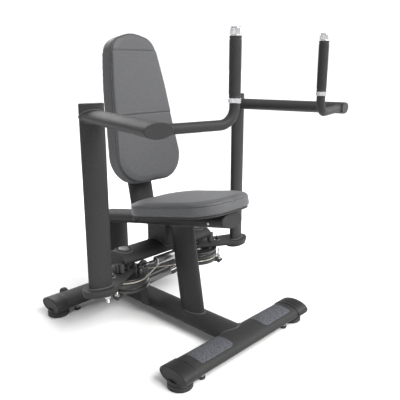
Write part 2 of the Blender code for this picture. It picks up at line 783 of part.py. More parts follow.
# ---------------------------------------------------------------- cables
def cable_run(side, z, front_end, rear_end):
    """Route from the front of one disc across to the rear of the other, at one height."""
    radius = DISC_RADIUS - GROOVE_DEPTH + CABLE_RADIUS + 0.0010
    near, far = pivot_place(side), pivot_place("right" if side == "left" else "left")
    sign = SIGN[side]
    lean = math.asin(radius / PIVOT_X)
    leave = -(math.pi / 2 - lean)
    points = []
    steps = 7
    for n in range(steps + 1):
        a = front_end + (leave - front_end) * n / steps
        points.append(near + Vector((-sign * math.cos(a), math.sin(a), 0)) * radius)
    arrive = leave + math.pi
    for n in range(steps + 1):
        a = arrive + (rear_end - arrive) * n / steps
        points.append(far + Vector((-sign * math.cos(a), math.sin(a), 0)) * radius)
    return [p + Z_AXIS * z for p in points]


def cables():
    """Fixed stretch of each crossed cable; angles count from the inward direction."""
    front, rear = math.radians(-117), math.radians(97)
    pipe("sync_cable_upper", cable_run("left", UPPER_GROOVE_Z, front, rear), CABLE_RADIUS,
         cable_steel, fine=2)
    front = math.radians(-102)
    pipe("sync_cable_lower", cable_run("right", LOWER_GROOVE_Z, front, rear), CABLE_RADIUS,
         cable_steel, fine=2)


# ---------------------------------------------------------------- cylinders
def barrel(name, anchor, along, rest):
    """Barrel with a bored eye on its anchor pin."""
    start = anchor + along * (EYE_RADIUS - 0.002)
    body = rod(name, start + along * 0.008, start + along * BARREL_LENGTH, BARREL_RADIUS,
               barrel_silver, rest)
    neck = rod(name + "_neck", anchor + along * 0.004, start + along * 0.02, EYE_THICK / 2 - 0.0005)
    boolean(body, neck, "UNION")
    lift = Z_AXIS * EYE_THICK / 2
    eye = rod(name + "_eye", anchor - lift, anchor + lift, EYE_RADIUS)
    boolean(body, eye, "UNION")
    bore = rod(name + "_bore", anchor - lift * 2, anchor + lift * 2, PIN_RADIUS + RUNNING)
    boolean(body, bore, "DIFFERENCE")
    floor = start + along * (0.02 + BARREL_FLOOR)
    mouth = start + along * (BARREL_LENGTH + 0.01)
    gland = rod(name + "_gland", floor, mouth, ROD_RADIUS + RUNNING)
    boolean(body, gland, "DIFFERENCE")


def piston_rod(name, pin, anchor, along, inside, nut_side, rest):
    """Rod with its eye and the acorn nut that closes the eye."""
    start = anchor + along * (EYE_RADIUS - 0.002 + BARREL_LENGTH - inside)
    body = rod(name, start, pin - along * 0.004, ROD_RADIUS - 0.0005, chrome, rest)
    lift = Z_AXIS * EYE_THICK / 2
    eye = rod(name + "_eye", pin - lift, pin + lift, EYE_RADIUS)
    boolean(body, eye, "UNION")
    nut = rod(name + "_nut", pin + lift * nut_side * 0.8, pin + lift * nut_side * 2.8, 0.0095)
    boolean(body, nut, "UNION")


def upper_cylinder():
    """Across the front of the cross beam, pulling on the left disc."""
    anchor = Vector((*UPPER_ANCHOR, UPPER_AXIS_Z))
    pin = pin_place("left", UPPER_PIN_TURN) + Z_AXIS * UPPER_AXIS_Z
    along = (pin - anchor).normalized()
    rest = pivot_empty("upper_cylinder_pivot", anchor)
    barrel("cylinder_barrel_upper", anchor, along, rest)
    piston_rod("cylinder_rod_upper", pin, anchor, along, UPPER_ROD_INSIDE, 1, rest)
    top = UPPER_AXIS_Z - EYE_THICK / 2 - GAP
    half = 0.018
    tongue = box("cylinder_anchor_upper", (anchor.x - half, anchor.y - half, top - TONGUE_THICK),
                 (anchor.x + half, PIVOT_Y + 0.020, top), frame_paint)
    beam_under = CROSS_Z - FRAME_HALF_THIN - GAP
    web = box("anchor_web_upper", (anchor.x - half, PIVOT_Y - 0.020, top - 0.001),
              (anchor.x + half, PIVOT_Y + 0.020, beam_under))
    boolean(tongue, web, "UNION")
    pin_bar = rod("anchor_pin_upper", anchor - Z_AXIS * 0.012, anchor + Z_AXIS * 0.012, PIN_RADIUS)
    boolean(tongue, pin_bar, "UNION")


def lower_cylinder():
    """Below the discs, pulling on the right disc from a bracket on the main beam."""
    anchor = Vector((*LOWER_ANCHOR, LOWER_AXIS_Z))
    pin = pin_place("right", LOWER_PIN_TURN) + Z_AXIS * LOWER_AXIS_Z
    along = (pin - anchor).normalized()
    rest = pivot_empty("lower_cylinder_pivot", anchor)
    barrel("cylinder_barrel_lower", anchor, along, rest)
    piston_rod("cylinder_rod_lower", pin, anchor, along, LOWER_ROD_INSIDE, -1, rest)
    top = LOWER_AXIS_Z - EYE_THICK / 2 - GAP
    half = 0.018
    web_x = anchor.x + half
    foot_z = BEAM_Z + FRAME_HALF_THIN / 2
    tongue = box("cylinder_anchor_lower", (anchor.x - half, anchor.y - half, top - TONGUE_THICK),
                 (web_x, anchor.y + half, top), frame_paint)
    web = box("anchor_web_lower", (web_x - TONGUE_THICK, anchor.y - half * 0.9, BEAM_Z),
              (web_x - 0.001, anchor.y + half * 0.9, top - 0.001))
    boolean(tongue, web, "UNION")
    foot = box("anchor_foot_lower", (web_x - TONGUE_THICK / 2, anchor.y - half * 0.8, BEAM_Z + 0.001),
               (0, anchor.y + half * 0.8, foot_z))
    boolean(tongue, foot, "UNION")
    pin_bar = rod("anchor_pin_lower", anchor - Z_AXIS * 0.010, anchor + Z_AXIS * 0.012, PIN_RADIUS)
    boolean(tongue, pin_bar, "UNION")
    cope(tongue, (0, anchor.y - 0.1, BEAM_Z), (0, anchor.y + 0.1, BEAM_Z), X_AXIS,
         FRAME_HALF_WIDE, FRAME_HALF_THIN)


# ---------------------------------------------------------------- transport wheels
def transport_wheel(side):
    sign = SIGN[side]
    y = REAR_BAR_Y + FRAME_HALF_WIDE + WHEEL_AIR + WHEEL_RADIUS
    at = Vector((sign * WHEEL_X, y, WHEEL_Z))
    half = WHEEL_WIDTH / 2
    rest = pivot_empty("wheel_axis_" + side, at)
    bore = AXLE_RADIUS + RUNNING
    turned("transport_wheel_" + side,
           [(WHEEL_RADIUS - 0.003, half), (WHEEL_RADIUS, half - 0.004),
            (WHEEL_RADIUS, 0.004 - half), (WHEEL_RADIUS - 0.003, -half),
            (bore, -half), (bore, half)],
           at, wheel_black, rest, steps=32, axis=X_AXIS)
    outer = half + 0.0005
    cheek_low = min(sign * outer, sign * (outer + BRACKET_THICK)) + at.x
    cheek_high = max(sign * outer, sign * (outer + BRACKET_THICK)) + at.x
    bracket = box("wheel_bracket_" + side, (cheek_low, REAR_BAR_Y, WHEEL_Z - 0.013),
                  (cheek_high, y + 0.013, WHEEL_Z + 0.016), frame_paint)
    axle = rod("wheel_axle_" + side, at - X_AXIS * sign * (half + 0.004),
               at + X_AXIS * sign * (outer + BRACKET_THICK + 0.003), AXLE_RADIUS)
    boolean(bracket, axle, "UNION")
    cope(bracket, (-0.34, REAR_BAR_Y, FOOT_BAR_Z), (0.34, REAR_BAR_Y, FOOT_BAR_Z), Y_AXIS,
         FRAME_HALF_WIDE, FRAME_HALF_THIN)


# ---------------------------------------------------------------- build
clear_scene()
parts = new_collection("chest_fly_machine")
cutters = new_collection("cutters")

frame_paint = finish_material("charcoal powder coat", (0.045, 0.045, 0.047), 0.55, 0.0)
cap_plastic = finish_material("black cap plastic", (0.030, 0.030, 0.033), 0.45, 0.0)
strip_grit = finish_material("blue grey grit", (0.120, 0.135, 0.160), 0.90, 0.0)
pad_leather = finish_material("grey leatherette", (0.140, 0.140, 0.148), 0.60, 0.0)
board_black = finish_material("black board", (0.020, 0.020, 0.020), 0.80, 0.0)
cap_grey = finish_material("grey cap plastic", (0.250, 0.250, 0.255), 0.40, 0.0)
bush_bronze = finish_material("sintered bronze", (0.450, 0.300, 0.150), 0.45, 1.0)
steel = finish_material("ground steel", (0.550, 0.550, 0.560), 0.30, 1.0)
disc_black = finish_material("black disc paint", (0.020, 0.020, 0.022), 0.40, 0.0)
barrel_silver = finish_material("satin aluminium", (0.600, 0.600, 0.610), 0.35, 1.0)
chrome = finish_material("chrome", (0.800, 0.800, 0.820), 0.10, 1.0)
grip_rubber = finish_material("ribbed rubber", (0.015, 0.015, 0.016), 0.80, 0.0)
cable_steel = finish_material("coated cable", (0.700, 0.680, 0.600), 0.40, 0.5)
wheel_black = finish_material("wheel rubber", (0.015, 0.015, 0.015), 0.70, 0.0)

base_frame()
for end_name, bar_y in (("front", FRONT_BAR_Y), ("rear", REAR_BAR_Y)):
    for hand in SIGN:
        end_cap("end_cap_%s_%s" % (end_name, hand), hand, bar_y)
for hand in SIGN:
    grip_strip("grip_strip_" + hand, hand)
seat_tube_and_posts()
cross_beam_and_hanger()
seat()
back()
for hand in SIGN:
    pivot(hand)
    arm(hand)
    transport_wheel(hand)
cables()
upper_cylinder()
lower_cylinder()
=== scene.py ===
import json
import math
import random
import bpy
import bmesh
import numpy as np
from mathutils import Matrix, Vector, noise
from mathutils.bvhtree import BVHTree


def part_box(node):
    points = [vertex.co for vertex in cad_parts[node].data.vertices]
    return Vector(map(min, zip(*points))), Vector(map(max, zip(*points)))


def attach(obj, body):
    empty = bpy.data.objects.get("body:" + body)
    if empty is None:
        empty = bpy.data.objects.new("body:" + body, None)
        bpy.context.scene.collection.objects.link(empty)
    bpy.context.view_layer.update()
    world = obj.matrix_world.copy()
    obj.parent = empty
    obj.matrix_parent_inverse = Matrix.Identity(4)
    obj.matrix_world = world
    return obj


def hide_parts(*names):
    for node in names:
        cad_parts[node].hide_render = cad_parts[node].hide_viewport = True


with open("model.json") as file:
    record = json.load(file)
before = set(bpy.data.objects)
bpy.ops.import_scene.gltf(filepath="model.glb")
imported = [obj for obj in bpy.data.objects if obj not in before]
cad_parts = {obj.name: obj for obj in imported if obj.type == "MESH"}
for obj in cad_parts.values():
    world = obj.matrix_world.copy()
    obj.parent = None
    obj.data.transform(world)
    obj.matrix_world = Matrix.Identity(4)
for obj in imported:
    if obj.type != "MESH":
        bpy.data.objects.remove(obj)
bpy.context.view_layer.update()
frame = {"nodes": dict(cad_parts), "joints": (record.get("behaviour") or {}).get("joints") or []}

xAxis = Vector((1, 0, 0))
yAxis = Vector((0, 1, 0))
zAxis = Vector((0, 0, 1))
signOf = {"left": -1, "right": 1}
jointAt = {j["child"]: Vector(j["pos_m"]) for j in frame["joints"] if "pos_m" in j}


# camera, light and floor
view = {
    "place": (-1.3785, -1.4486, 1.0470),
    "yaw": 0.7597,      # from +X towards +Y
    "down": 0.2593,
    "lens": 46.55,
}


def addCamera():
    cosYaw, sinYaw = math.cos(view["yaw"]), math.sin(view["yaw"])
    ahead = Vector((cosYaw * math.cos(view["down"]), sinYaw * math.cos(view["down"]),
                    -math.sin(view["down"])))
    right = Vector((sinYaw, -cosYaw, 0))
    up = right.cross(ahead)
    data = bpy.data.cameras.new("camera")
    data.lens = view["lens"]
    data.sensor_width = 36
    data.clip_start = 0.05
    camera = bpy.data.objects.new("camera", data)
    turn = Matrix((right, up, -ahead)).transposed().to_4x4()
    camera.matrix_world = Matrix.Translation(view["place"]) @ turn
    bpy.context.scene.collection.objects.link(camera)
    bpy.context.scene.camera = camera


lights = {     # place, target, width, watts, colour
    "fill": ((-3.2, -0.8, 1.6), (0, 0, 0.5), 2.4, 6, (0.96, 0.98, 1.0)),
    "side": ((2.8, -1.6, 2.0), (0, 0, 0.6), 1.8, 45, (1.0, 1.0, 1.0)),
    "back": ((0.8, 3.0, 2.4), (0, 0, 0.6), 2.0, 60, (1.0, 1.0, 1.0)),
}
keyLight = {"place": (0.5, -3.0, 2.9), "strength": 4.6, "spread": math.radians(38),
            "colour": (1.0, 0.995, 0.98)}
skyStops = ((0.20, 1.05), (0.42, 0.36), (0.65, 0.26), (1.0, 1.05))    # height of the ray, brightness
floorShade = {"half": 60.0, "low": (0.80, 0.80, 0.805, 1), "high": (0.83, 0.83, 0.835, 1), "rough": 0.85}


def aimed(place, target):
    back = (Vector(place) - Vector(target)).normalized()
    across = zAxis.cross(back).normalized()
    turn = Matrix((across, back.cross(across), back)).transposed().to_4x4()
    return Matrix.Translation(place) @ turn


def addLights():
    for name, (place, target, width, watts, colour) in lights.items():
        data = bpy.data.lights.new(name, "AREA")
        data.shape = "DISK"
        data.size = width
        data.energy = watts
        data.color = colour
        lamp = bpy.data.objects.new(name, data)
        lamp.matrix_world = aimed(place, target)
        bpy.context.scene.collection.objects.link(lamp)
    data = bpy.data.lights.new("key", "SUN")
    data.energy = keyLight["strength"]
    data.angle = keyLight["spread"]
    data.color = keyLight["colour"]
    lamp = bpy.data.objects.new("key", data)
    lamp.matrix_world = aimed(keyLight["place"], (0, 0, 0))
    bpy.context.scene.collection.objects.link(lamp)
    bpy.context.scene.view_settings.view_transform = "Standard"


# shader nodes
class Signal:
    # a node's output that can stand in a sum
    def __init__(self, finish, socket):
        self.finish = finish
        self.socket = socket

    def sum(self, operation, first, second):
        return self.finish.node("ShaderNodeMath", {"operation": operation}, {0: first, 1: second})

    def __add__(self, other):
        return self.sum("ADD", self, other)

    def __radd__(self, other):
        return self.sum("ADD", other, self)

    def __sub__(self, other):
        return self.sum("SUBTRACT", self, other)

    def __rsub__(self, other):
        return self.sum("SUBTRACT", other, self)

    def __mul__(self, other):
        return self.sum("MULTIPLY", self, other)

    def __rmul__(self, other):
        return self.sum("MULTIPLY", other, self)

    def __truediv__(self, other):
        return self.sum("DIVIDE", self, other)

    def __pow__(self, other):
        return self.sum("POWER", self, other)


class Finish:
    # one material and the nodes in it
    def __init__(self, name, kind=bpy.data.materials, place="Object"):
        self.material = kind.new(name)
        self.material.use_nodes = True
        self.tree = self.material.node_tree
        self.tree.nodes.clear()
        self.place = self.node("ShaderNodeTexCoord", output=place)

    def node(self, kind, settings=None, inputs=None, output=0):
        made = self.tree.nodes.new(kind)
        for name, value in (settings or {}).items():
            if name == "stops":
                ramp = made.color_ramp.elements
                while len(ramp) < len(value):
                    ramp.new(1)
                for stop, (at, shade) in zip(ramp, value):
                    stop.position = at
                    stop.color = (shade, shade, shade, 1)
            else:
                setattr(made, name, value)
        for name, value in (inputs or {}).items():
            if isinstance(value, Signal):
                self.tree.links.new(value.socket, made.inputs[name])
            else:
                made.inputs[name].default_value = value
        return Signal(self, made.outputs[output])

    def cloud(self, scale, detail=2, rough=0.5, place=None):
        return self.node("ShaderNodeTexNoise", {"noise_dimensions": "3D"},
                         {"Vector": place or self.place, "Scale": scale, "Detail": detail,
                          "Roughness": rough}, "Fac")

    def cells(self, scale, feature="F1", place=None):
        return self.node("ShaderNodeTexVoronoi", {"feature": feature},
                         {"Vector": place or self.place, "Scale": scale}, "Distance")

    def stretched(self, size):
        return self.node("ShaderNodeVectorMath", {"operation": "MULTIPLY"},
                         {0: self.place, 1: size})

    def part(self, direction, source=None):
        return self.node("ShaderNodeVectorMath", {"operation": "DOT_PRODUCT"},
                         {0: source or self.place, 1: direction}, "Value")

    def ramp(self, signal, *stops):
        return self.node("ShaderNodeValToRGB", {"stops": stops}, {"Fac": signal})

    def between(self, amount, low, high):
        return self.node("ShaderNodeMapRange", {"clamp": True},
                         {"Value": amount, "To Min": low, "To Max": high})

    def mix(self, amount, first, second):
        return self.node("ShaderNodeMix", {"data_type": "RGBA"},
                         {0: amount, 6: first, 7: second}, 2)

    def bump(self, height, depth, strength=1.0, under=None):
        inputs = {"Height": height, "Distance": depth, "Strength": strength}
        if under:
            inputs["Normal"] = under
        return self.node("ShaderNodeBump", None, inputs)

    def done(self, **inputs):
        named = {key.replace("_", " "): value for key, value in inputs.items()}
        shader = self.node("ShaderNodeBsdfPrincipled", None, named, "BSDF")
        output = self.tree.nodes.new("ShaderNodeOutputMaterial")
        self.tree.links.new(shader.socket, output.inputs["Surface"])
        return self.material


def paintSky():
    # bright band along the horizon, dim sides and a soft light overhead
    f = Finish("studio", bpy.data.worlds, "Generated")
    glow = f.ramp(f.part((0, 0, 1)), *((at, shade * 0.5) for at, shade in skyStops))
    shader = f.node("ShaderNodeBackground", None, {"Color": glow, "Strength": 2.0})
    output = f.tree.nodes.new("ShaderNodeOutputWorld")
    f.tree.links.new(shader.socket, output.inputs["Surface"])
    bpy.context.scene.world = f.material


def grey(level, cool=0.0):
    return (level * (1 - cool * 0.4), level * (1 - cool * 0.2), level * (1 + cool), 1)


def powderCoat(name, level=0.024, grain=650):
    # fine textured charcoal coat with dust on top faces and a few rubs
    f = Finish(name)
    peel = f.cloud(grain, 2, 0.6)
    speck = f.cells(grain * 1.7)
    patch = f.cloud(7, 4, 0.6)
    normal = f.node("ShaderNodeNewGeometry", output="Normal")
    upward = f.between(f.part((0, 0, 1), normal), 0.0, 1.0)
    dust = f.ramp(f.cloud(38, 5, 0.7), (0.42, 0.0), (0.75, 1.0)) * upward * 0.20
    rub = f.ramp(f.cloud(1, 6, 0.55, f.stretched((60, 60, 9))), (0.66, 0.0), (0.72, 1.0))
    base = f.mix(f.between(patch, 0.0, 1.0), grey(level * 0.86), grey(level * 1.16, 0.01))
    dusty = f.mix(dust, base, grey(level * 2.6, -0.01))
    worn = f.mix(rub * 0.18, dusty, grey(level * 2.2))
    fleck = f.ramp(f.cloud(190, 5, 0.85), (0.38, 0.0), (0.62, 1.0))
    worn = f.mix(fleck * 0.5, worn, grey(level * 0.45))
    rough = 0.53 + patch * 0.10 + dust * 0.35 - rub * 0.08
    fine = f.bump(speck, 0.00012, 0.5)
    return f.done(Base_Color=worn, Roughness=rough, Normal=f.bump(peel, 0.0004, 0.55, fine),
                  Specular_IOR_Level=0.22)


def highlightedWeldCoat():
    # the frame's charcoal coat painted lighter on the beads: painted highlight along the welds
    f = Finish("coat over weld with painted highlight")
    ripple = f.cloud(260, 3, 0.6)
    base = f.mix(f.cloud(60, 3), grey(0.040), grey(0.068))
    return f.done(Base_Color=base, Roughness=0.42 + ripple * 0.12,
                  Normal=f.bump(ripple, 0.0009, 0.6), Specular_IOR_Level=0.3)


def mouldedPlastic(name, level, rough, grain=420, shine=0.5):
    f = Finish(name)
    pits = f.cloud(grain, 3, 0.6)
    flow = f.cloud(11, 3, 0.5)
    scuff = f.ramp(f.cloud(1, 7, 0.6, f.stretched((30, 160, 160))), (0.62, 0.0), (0.70, 1.0))
    base = f.mix(flow, grey(level * 0.85), grey(level * 1.2))
    scuffed = f.mix(scuff * 0.22, base, grey(level * 3 + 0.03))
    return f.done(Base_Color=scuffed, Roughness=rough + flow * 0.08 + scuff * 0.12,
                  Normal=f.bump(pits, 0.00025, 0.45), Specular_IOR_Level=shine)


def leatherette(name, base):
    # pebbled grain, creases, slight fading in broad random patches and a sheen
    f = Finish(name)
    warp = f.cloud(24, 2)
    pebble = f.cells(620)
    small = f.cells(1150)
    crease = f.ramp(f.cloud(46, 6, 0.62), (0.47, 1.0), (0.50, 0.0), (0.53, 1.0))
    fade = f.cloud(5, 3, 0.5)
    low = f.mix(fade, grey(base * 0.86, 0.07), grey(base * 1.12, 0.07))
    mottle = f.ramp(f.cloud(170, 5, 0.85), (0.38, 0.0), (0.62, 1.0))
    low = f.mix(mottle * 0.75, low, grey(base * 0.55, 0.08))
    # darker colour at the pebble pits, where the bump dips: painted shade in the grain
    pitShadedColour = f.mix(f.ramp(pebble, (0.0, 0.0), (0.35, 1.0)), grey(base * 0.62, 0.02), low)
    height = pebble * 0.6 + small * 0.25 + crease * 0.10 + warp * 0.4
    return f.done(Base_Color=pitShadedColour, Roughness=0.47 + fade * 0.10 + small * 0.10,
                  Normal=f.bump(height, 0.00065, 0.62), Specular_IOR_Level=0.42,
                  Sheen_Weight=0.10, Sheen_Roughness=0.45)


def sewingThread():
    f = Finish("sewing thread")
    twist = f.cloud(2600, 2)
    return f.done(Base_Color=f.mix(twist, grey(0.075), grey(0.15)), Roughness=0.72 + twist * 0.1,
                  Normal=f.bump(twist, 0.0002, 0.5), Sheen_Weight=0.3)


def gritSheet():
    f = Finish("blue grey grit")
    stone = f.cells(560)
    tint = f.node("ShaderNodeTexVoronoi", None, {"Vector": f.place, "Scale": 330}, "Color")
    bright = f.part((0.35, 0.4, 0.25), tint)
    base = f.mix(bright, (0.006, 0.007, 0.009, 1), (0.110, 0.116, 0.134, 1))
    glint = f.ramp(f.cells(330), (0.10, 1.0), (0.20, 0.0))
    speckled = f.mix(glint * 0.6, base, (0.34, 0.36, 0.40, 1))
    return f.done(Base_Color=speckled, Roughness=0.86 - glint * 0.35,
                  Normal=f.bump(stone, 0.0012, 0.9))


def gripRubber():
    f = Finish("grip rubber")
    pore = f.cloud(900, 3)
    bloom = f.cloud(28, 3)
    return f.done(Base_Color=f.mix(bloom, grey(0.010), grey(0.024)),
                  Roughness=0.62 + bloom * 0.16, Normal=f.bump(pore, 0.0002, 0.6),
                  Specular_IOR_Level=0.4)


def footRubber():
    f = Finish("foot rubber")
    pore = f.cloud(700, 3)
    dirt = f.cloud(40, 5, 0.7)
    return f.done(Base_Color=f.mix(f.ramp(dirt, (0.5, 0.0), (0.8, 1.0)), grey(0.013), grey(0.05)),
                  Roughness=0.66 + dirt * 0.2, Normal=f.bump(pore, 0.0003, 0.6))


def metal(name, colour, rough, streak=(4, 4, 900), depth=0.00004, wear=0.12):
    # drawn or turned lines run across the streak's long way
    f = Finish(name)
    lines = f.cloud(1, 3, 0.6, f.stretched(streak))
    smear = f.cloud(23, 4, 0.6)
    dark = tuple(c * 0.72 for c in colour[:3]) + (1,)
    base = f.mix(smear * 0.5 + lines * 0.3, dark, colour)
    looks = {"Base_Color": base, "Metallic": 1.0, "Roughness": rough + smear * wear + lines * 0.06}
    if depth:
        looks["Normal"] = f.bump(lines, depth, 0.6)
    return f.done(**looks)


def twistedRope():
    # strands seen through a thin clear coat
    f = Finish("wire rope")
    strandAndGrooveShade = f.node("ShaderNodeTexWave", {"wave_type": "BANDS", "bands_direction": "DIAGONAL"},
                    {"Vector": f.place, "Scale": 210, "Distortion": 0.4}, "Fac")
    # the dark bands fall in the grooves between strands, where the bump dips: painted shade; the light
    # bands are the strands' own colour
    base = f.mix(strandAndGrooveShade, (0.20, 0.19, 0.16, 1), (0.66, 0.63, 0.54, 1))
    return f.done(Base_Color=base, Metallic=0.55, Roughness=0.34 + strandAndGrooveShade * 0.1,
                  Coat_Weight=0.4, Normal=f.bump(strandAndGrooveShade, 0.0005, 0.7))


def paintedPly():
    f = Finish("painted ply")
    grain = f.cloud(1, 5, 0.6, f.stretched((260, 18, 260)))
    return f.done(Base_Color=f.mix(grain, grey(0.010), grey(0.028)), Roughness=0.70 + grain * 0.15,
                  Normal=f.bump(grain, 0.0005, 0.5))


coat = powderCoat("charcoal powder coat")
# the arms carry the frame's charcoal coat; this copy is painted lighter as painted light on the arms
armCoatPaintedLighter = powderCoat("charcoal powder coat arms painted lighter", 0.028)
weldCoatHighlight = highlightedWeldCoat()
capPlastic = mouldedPlastic("end cap plastic", 0.012, 0.45, shine=0.28)
tubePlastic = mouldedPlastic("tube cap plastic", 0.037, 0.46, shine=0.3)
greyPlastic = mouldedPlastic("light grey plastic", 0.13, 0.38)
# seat and back share one cover; the seat's copy is painted lighter as painted light on its upward face, the
# back's darker as painted shade
seatSkinPaintedLighter = leatherette("seat leatherette painted lighter", base=0.082)
backSkinPaintedDarker = leatherette("back leatherette painted darker", base=0.058)
# dark piping for the welts; on the back the same material also draws painted seam shade
pipingAndSeamShade = leatherette("dark piping", base=0.022)
thread = sewingThread()
grit = gritSheet()
gripSkin = gripRubber()
rubber = footRubber()
ply = paintedPly()
discPaint = mouldedPlastic("black disc paint", 0.014, 0.27, 300, 0.6)
chrome = metal("polished chrome", (0.60, 0.60, 0.62, 1), 0.20, (5, 5, 300), 0, 0.05)
rodChrome = metal("hard chrome", (0.80, 0.80, 0.82, 1), 0.10, (5, 5, 500), 0, 0.06)
satin = metal("satin aluminium", (0.52, 0.52, 0.54, 1), 0.30, (900, 6, 6))
# the lower barrel's copy of the satin aluminium, painted darker as painted shade; both barrels are the same
# metal
satinPaintedDarker = metal("satin aluminium painted darker", (0.17, 0.17, 0.175, 1), 0.34, (900, 6, 6))
zinc = metal("zinc plate", (0.62, 0.62, 0.60, 1), 0.30, (90, 90, 90), 0.00006)
steel = metal("ground steel", (0.50, 0.50, 0.51, 1), 0.28)
bronze = metal("sintered bronze", (0.42, 0.27, 0.13, 1), 0.42, (300, 300, 300))
blackNut = mouldedPlastic("black nut cap", 0.012, 0.22, 260, 0.6)
rope = twistedRope()
print("finishes ready")


# shapes
class Shape:
    # gathers points and faces, then becomes one piece
    def __init__(self):
        self.points = []
        self.faces = []

    def rings(self, rings, closed=False, startCap=True, endCap=True):
        first = len(self.points)
        count = len(rings[0])
        for ring in rings:
            self.points += [tuple(p) for p in ring]
        pairs = len(rings) if closed else len(rings) - 1
        for r in range(pairs):
            low = first + r * count
            high = first + (r + 1) % len(rings) * count
            for n in range(count):
                m = (n + 1) % count
                self.faces.append((low + n, low + m, high + m, high + n))
        if not closed and startCap:
            self.faces.append(tuple(first + n for n in reversed(range(count))))
        if not closed and endCap:
            last = first + (len(rings) - 1) * count
            self.faces.append(tuple(last + n for n in range(count)))

    def turned(self, profile, at, axis=zAxis, steps=48):
        # closed when the profile's ends are off the axis, capped when they are on it
        axis = Vector(axis).normalized()
        across = sideways(axis)
        other = axis.cross(across)
        onAxis = profile[0][0] == 0
        points = profile[1:-1] if onAxis else profile
        rings = [[at + axis * h + (across * math.cos(a) + other * math.sin(a)) * r
                  for a in (2 * math.pi * n / steps for n in range(steps))] for r, h in points]
        self.rings(rings, closed=not onAxis)

    def slab(self, outline, low, high, place=Matrix.Identity(4), edge=0.0012, steps=3):
        # plate with softened edges; the outline runs anticlockwise
        rings = []
        for side, level in ((1, low), (-1, high)):
            run = []
            for n in range(steps + 1):
                a = math.pi / 2 * n / steps
                inset = edge * (1 - math.sin(a))
                height = level + side * edge * (1 - math.cos(a))
                run.append([place @ Vector((p.x, p.y, height)) for p in shrunk(outline, inset)])
            rings += run if side == 1 else run[::-1]
        self.rings(rings)

    def swept(self, path, radius, steps=20, closed=False):
        # round bar along points; radius may be a function of the point's number
        rings = []
        across = None
        count = len(path)
        for n, p in enumerate(path):
            before = path[n - 1] if n or closed else path[0]
            after = path[(n + 1) % count] if n < count - 1 or closed else path[-1]
            along = (after - before).normalized()
            across = (across - along * across.dot(along)) if across else sideways(along)
            across = across.normalized()
            other = along.cross(across)
            r = radius(n) if callable(radius) else radius
            rings.append([p + (across * math.cos(a) + other * math.sin(a)) * r
                          for a in (2 * math.pi * k / steps for k in range(steps))])
        if closed:
            # the last ring is turned to meet the first without a twist
            rings = untwisted(rings)
        self.rings(rings, closed=closed)

    def oval(self, start, end, wide, halfWide, halfThin, steps=96, edge=0.0, cuts=1):
        start, end, wide = Vector(start), Vector(end), Vector(wide).normalized()
        along = (end - start).normalized()
        wide = (wide - along * wide.dot(along)).normalized()
        thin = along.cross(wide)
        length = (end - start).length
        stations = [(0, edge)] if edge else []
        stations += [(edge + (length - 2 * edge) * n / cuts, 0) for n in range(cuts + 1)]
        stations += [(length, edge)] if edge else []
        rings = [[start + along * d + wide * (halfWide - e) * math.cos(a)
                  + thin * (halfThin - e) * math.sin(a)
                  for a in (2 * math.pi * n / steps for n in range(steps))] for d, e in stations]
        self.rings(rings)

    def block(self, low, high, place=Matrix.Identity(4), edge=0.001):
        outline = [Vector((low[0], low[1])), Vector((high[0], low[1])),
                   Vector((high[0], high[1])), Vector((low[0], high[1]))]
        self.slab(rounded(outline, edge * 1.5, 3), low[2], high[2], place, edge)

    def piece(self, name, finish, body, slot, replaces=(), bend=32):
        mesh = bpy.data.meshes.new(name)
        mesh.from_pydata(self.points, [], self.faces)
        work = bmesh.new()
        work.from_mesh(mesh)
        bmesh.ops.recalc_face_normals(work, faces=work.faces)
        work.to_mesh(mesh)
        work.free()
        mesh.shade_smooth()
        mesh.set_sharp_from_angle(angle=math.radians(bend))
        made = bpy.data.objects.new(name, mesh)
        bpy.context.scene.collection.objects.link(made)
        mesh.materials.append(finish)
        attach(made, body)
        if replaces:
            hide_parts(*replaces)
        return made


def sideways(along):
    pick = yAxis if abs(along.normalized().dot(xAxis)) > 0.9 else xAxis
    return (pick - along * pick.dot(along)).normalized()


def untwisted(rings):
    last, first = rings[-1], rings[0]
    count = len(first)
    shift = min(range(count), key=lambda k: (last[k] - first[0]).length)
    fixed = []
    for n, ring in enumerate(rings):
        turn = 2 * math.pi * shift / count * n / (len(rings) - 1)
        whole = turn / (2 * math.pi) * count
        low = math.floor(whole)
        part = whole - low
        fixed.append([ring[(k + low) % count].lerp(ring[(k + low + 1) % count], part)
                      for k in range(count)])
    return fixed


def shrunk(outline, inset):
    if inset == 0:
        return outline
    made = []
    count = len(outline)
    for n, p in enumerate(outline):
        ahead = (outline[(n + 1) % count] - outline[n - 1]).normalized()
        made.append(p + Vector((-ahead.y, ahead.x)) * inset)
    return made


def rounded(corners, radius, steps=8):
    # outline with filleted corners; radius is one number or one for each corner
    made = []
    count = len(corners)
    for n, here in enumerate(corners):
        r = radius[n] if isinstance(radius, (list, tuple)) else radius
        back = (corners[n - 1] - here).normalized()
        ahead = (corners[(n + 1) % count] - here).normalized()
        half = back.angle(ahead) / 2
        centre = here + (back + ahead).normalized() * r / math.sin(half)
        first = here + back * r / math.tan(half) - centre
        start = math.atan2(first.y, first.x)
        sweep = math.pi - 2 * half
        made += [centre + Vector((math.cos(start + sweep * k / steps),
                                  math.sin(start + sweep * k / steps))) * r
                 for k in range(steps + 1)]
    return made


def wrapped(points):
    # convex outline round loose points
    ordered = sorted((p.x, p.y) for p in points)

    def half(run):
        kept = []
        for p in run:
            while len(kept) > 1 and ((kept[-1][0] - kept[-2][0]) * (p[1] - kept[-2][1])
                                     - (kept[-1][1] - kept[-2][1]) * (p[0] - kept[-2][0])) <= 1e-9:
                kept.pop()
            kept.append(p)
        return kept[:-1]

    return [Vector(p) for p in half(ordered) + half(ordered[::-1])]


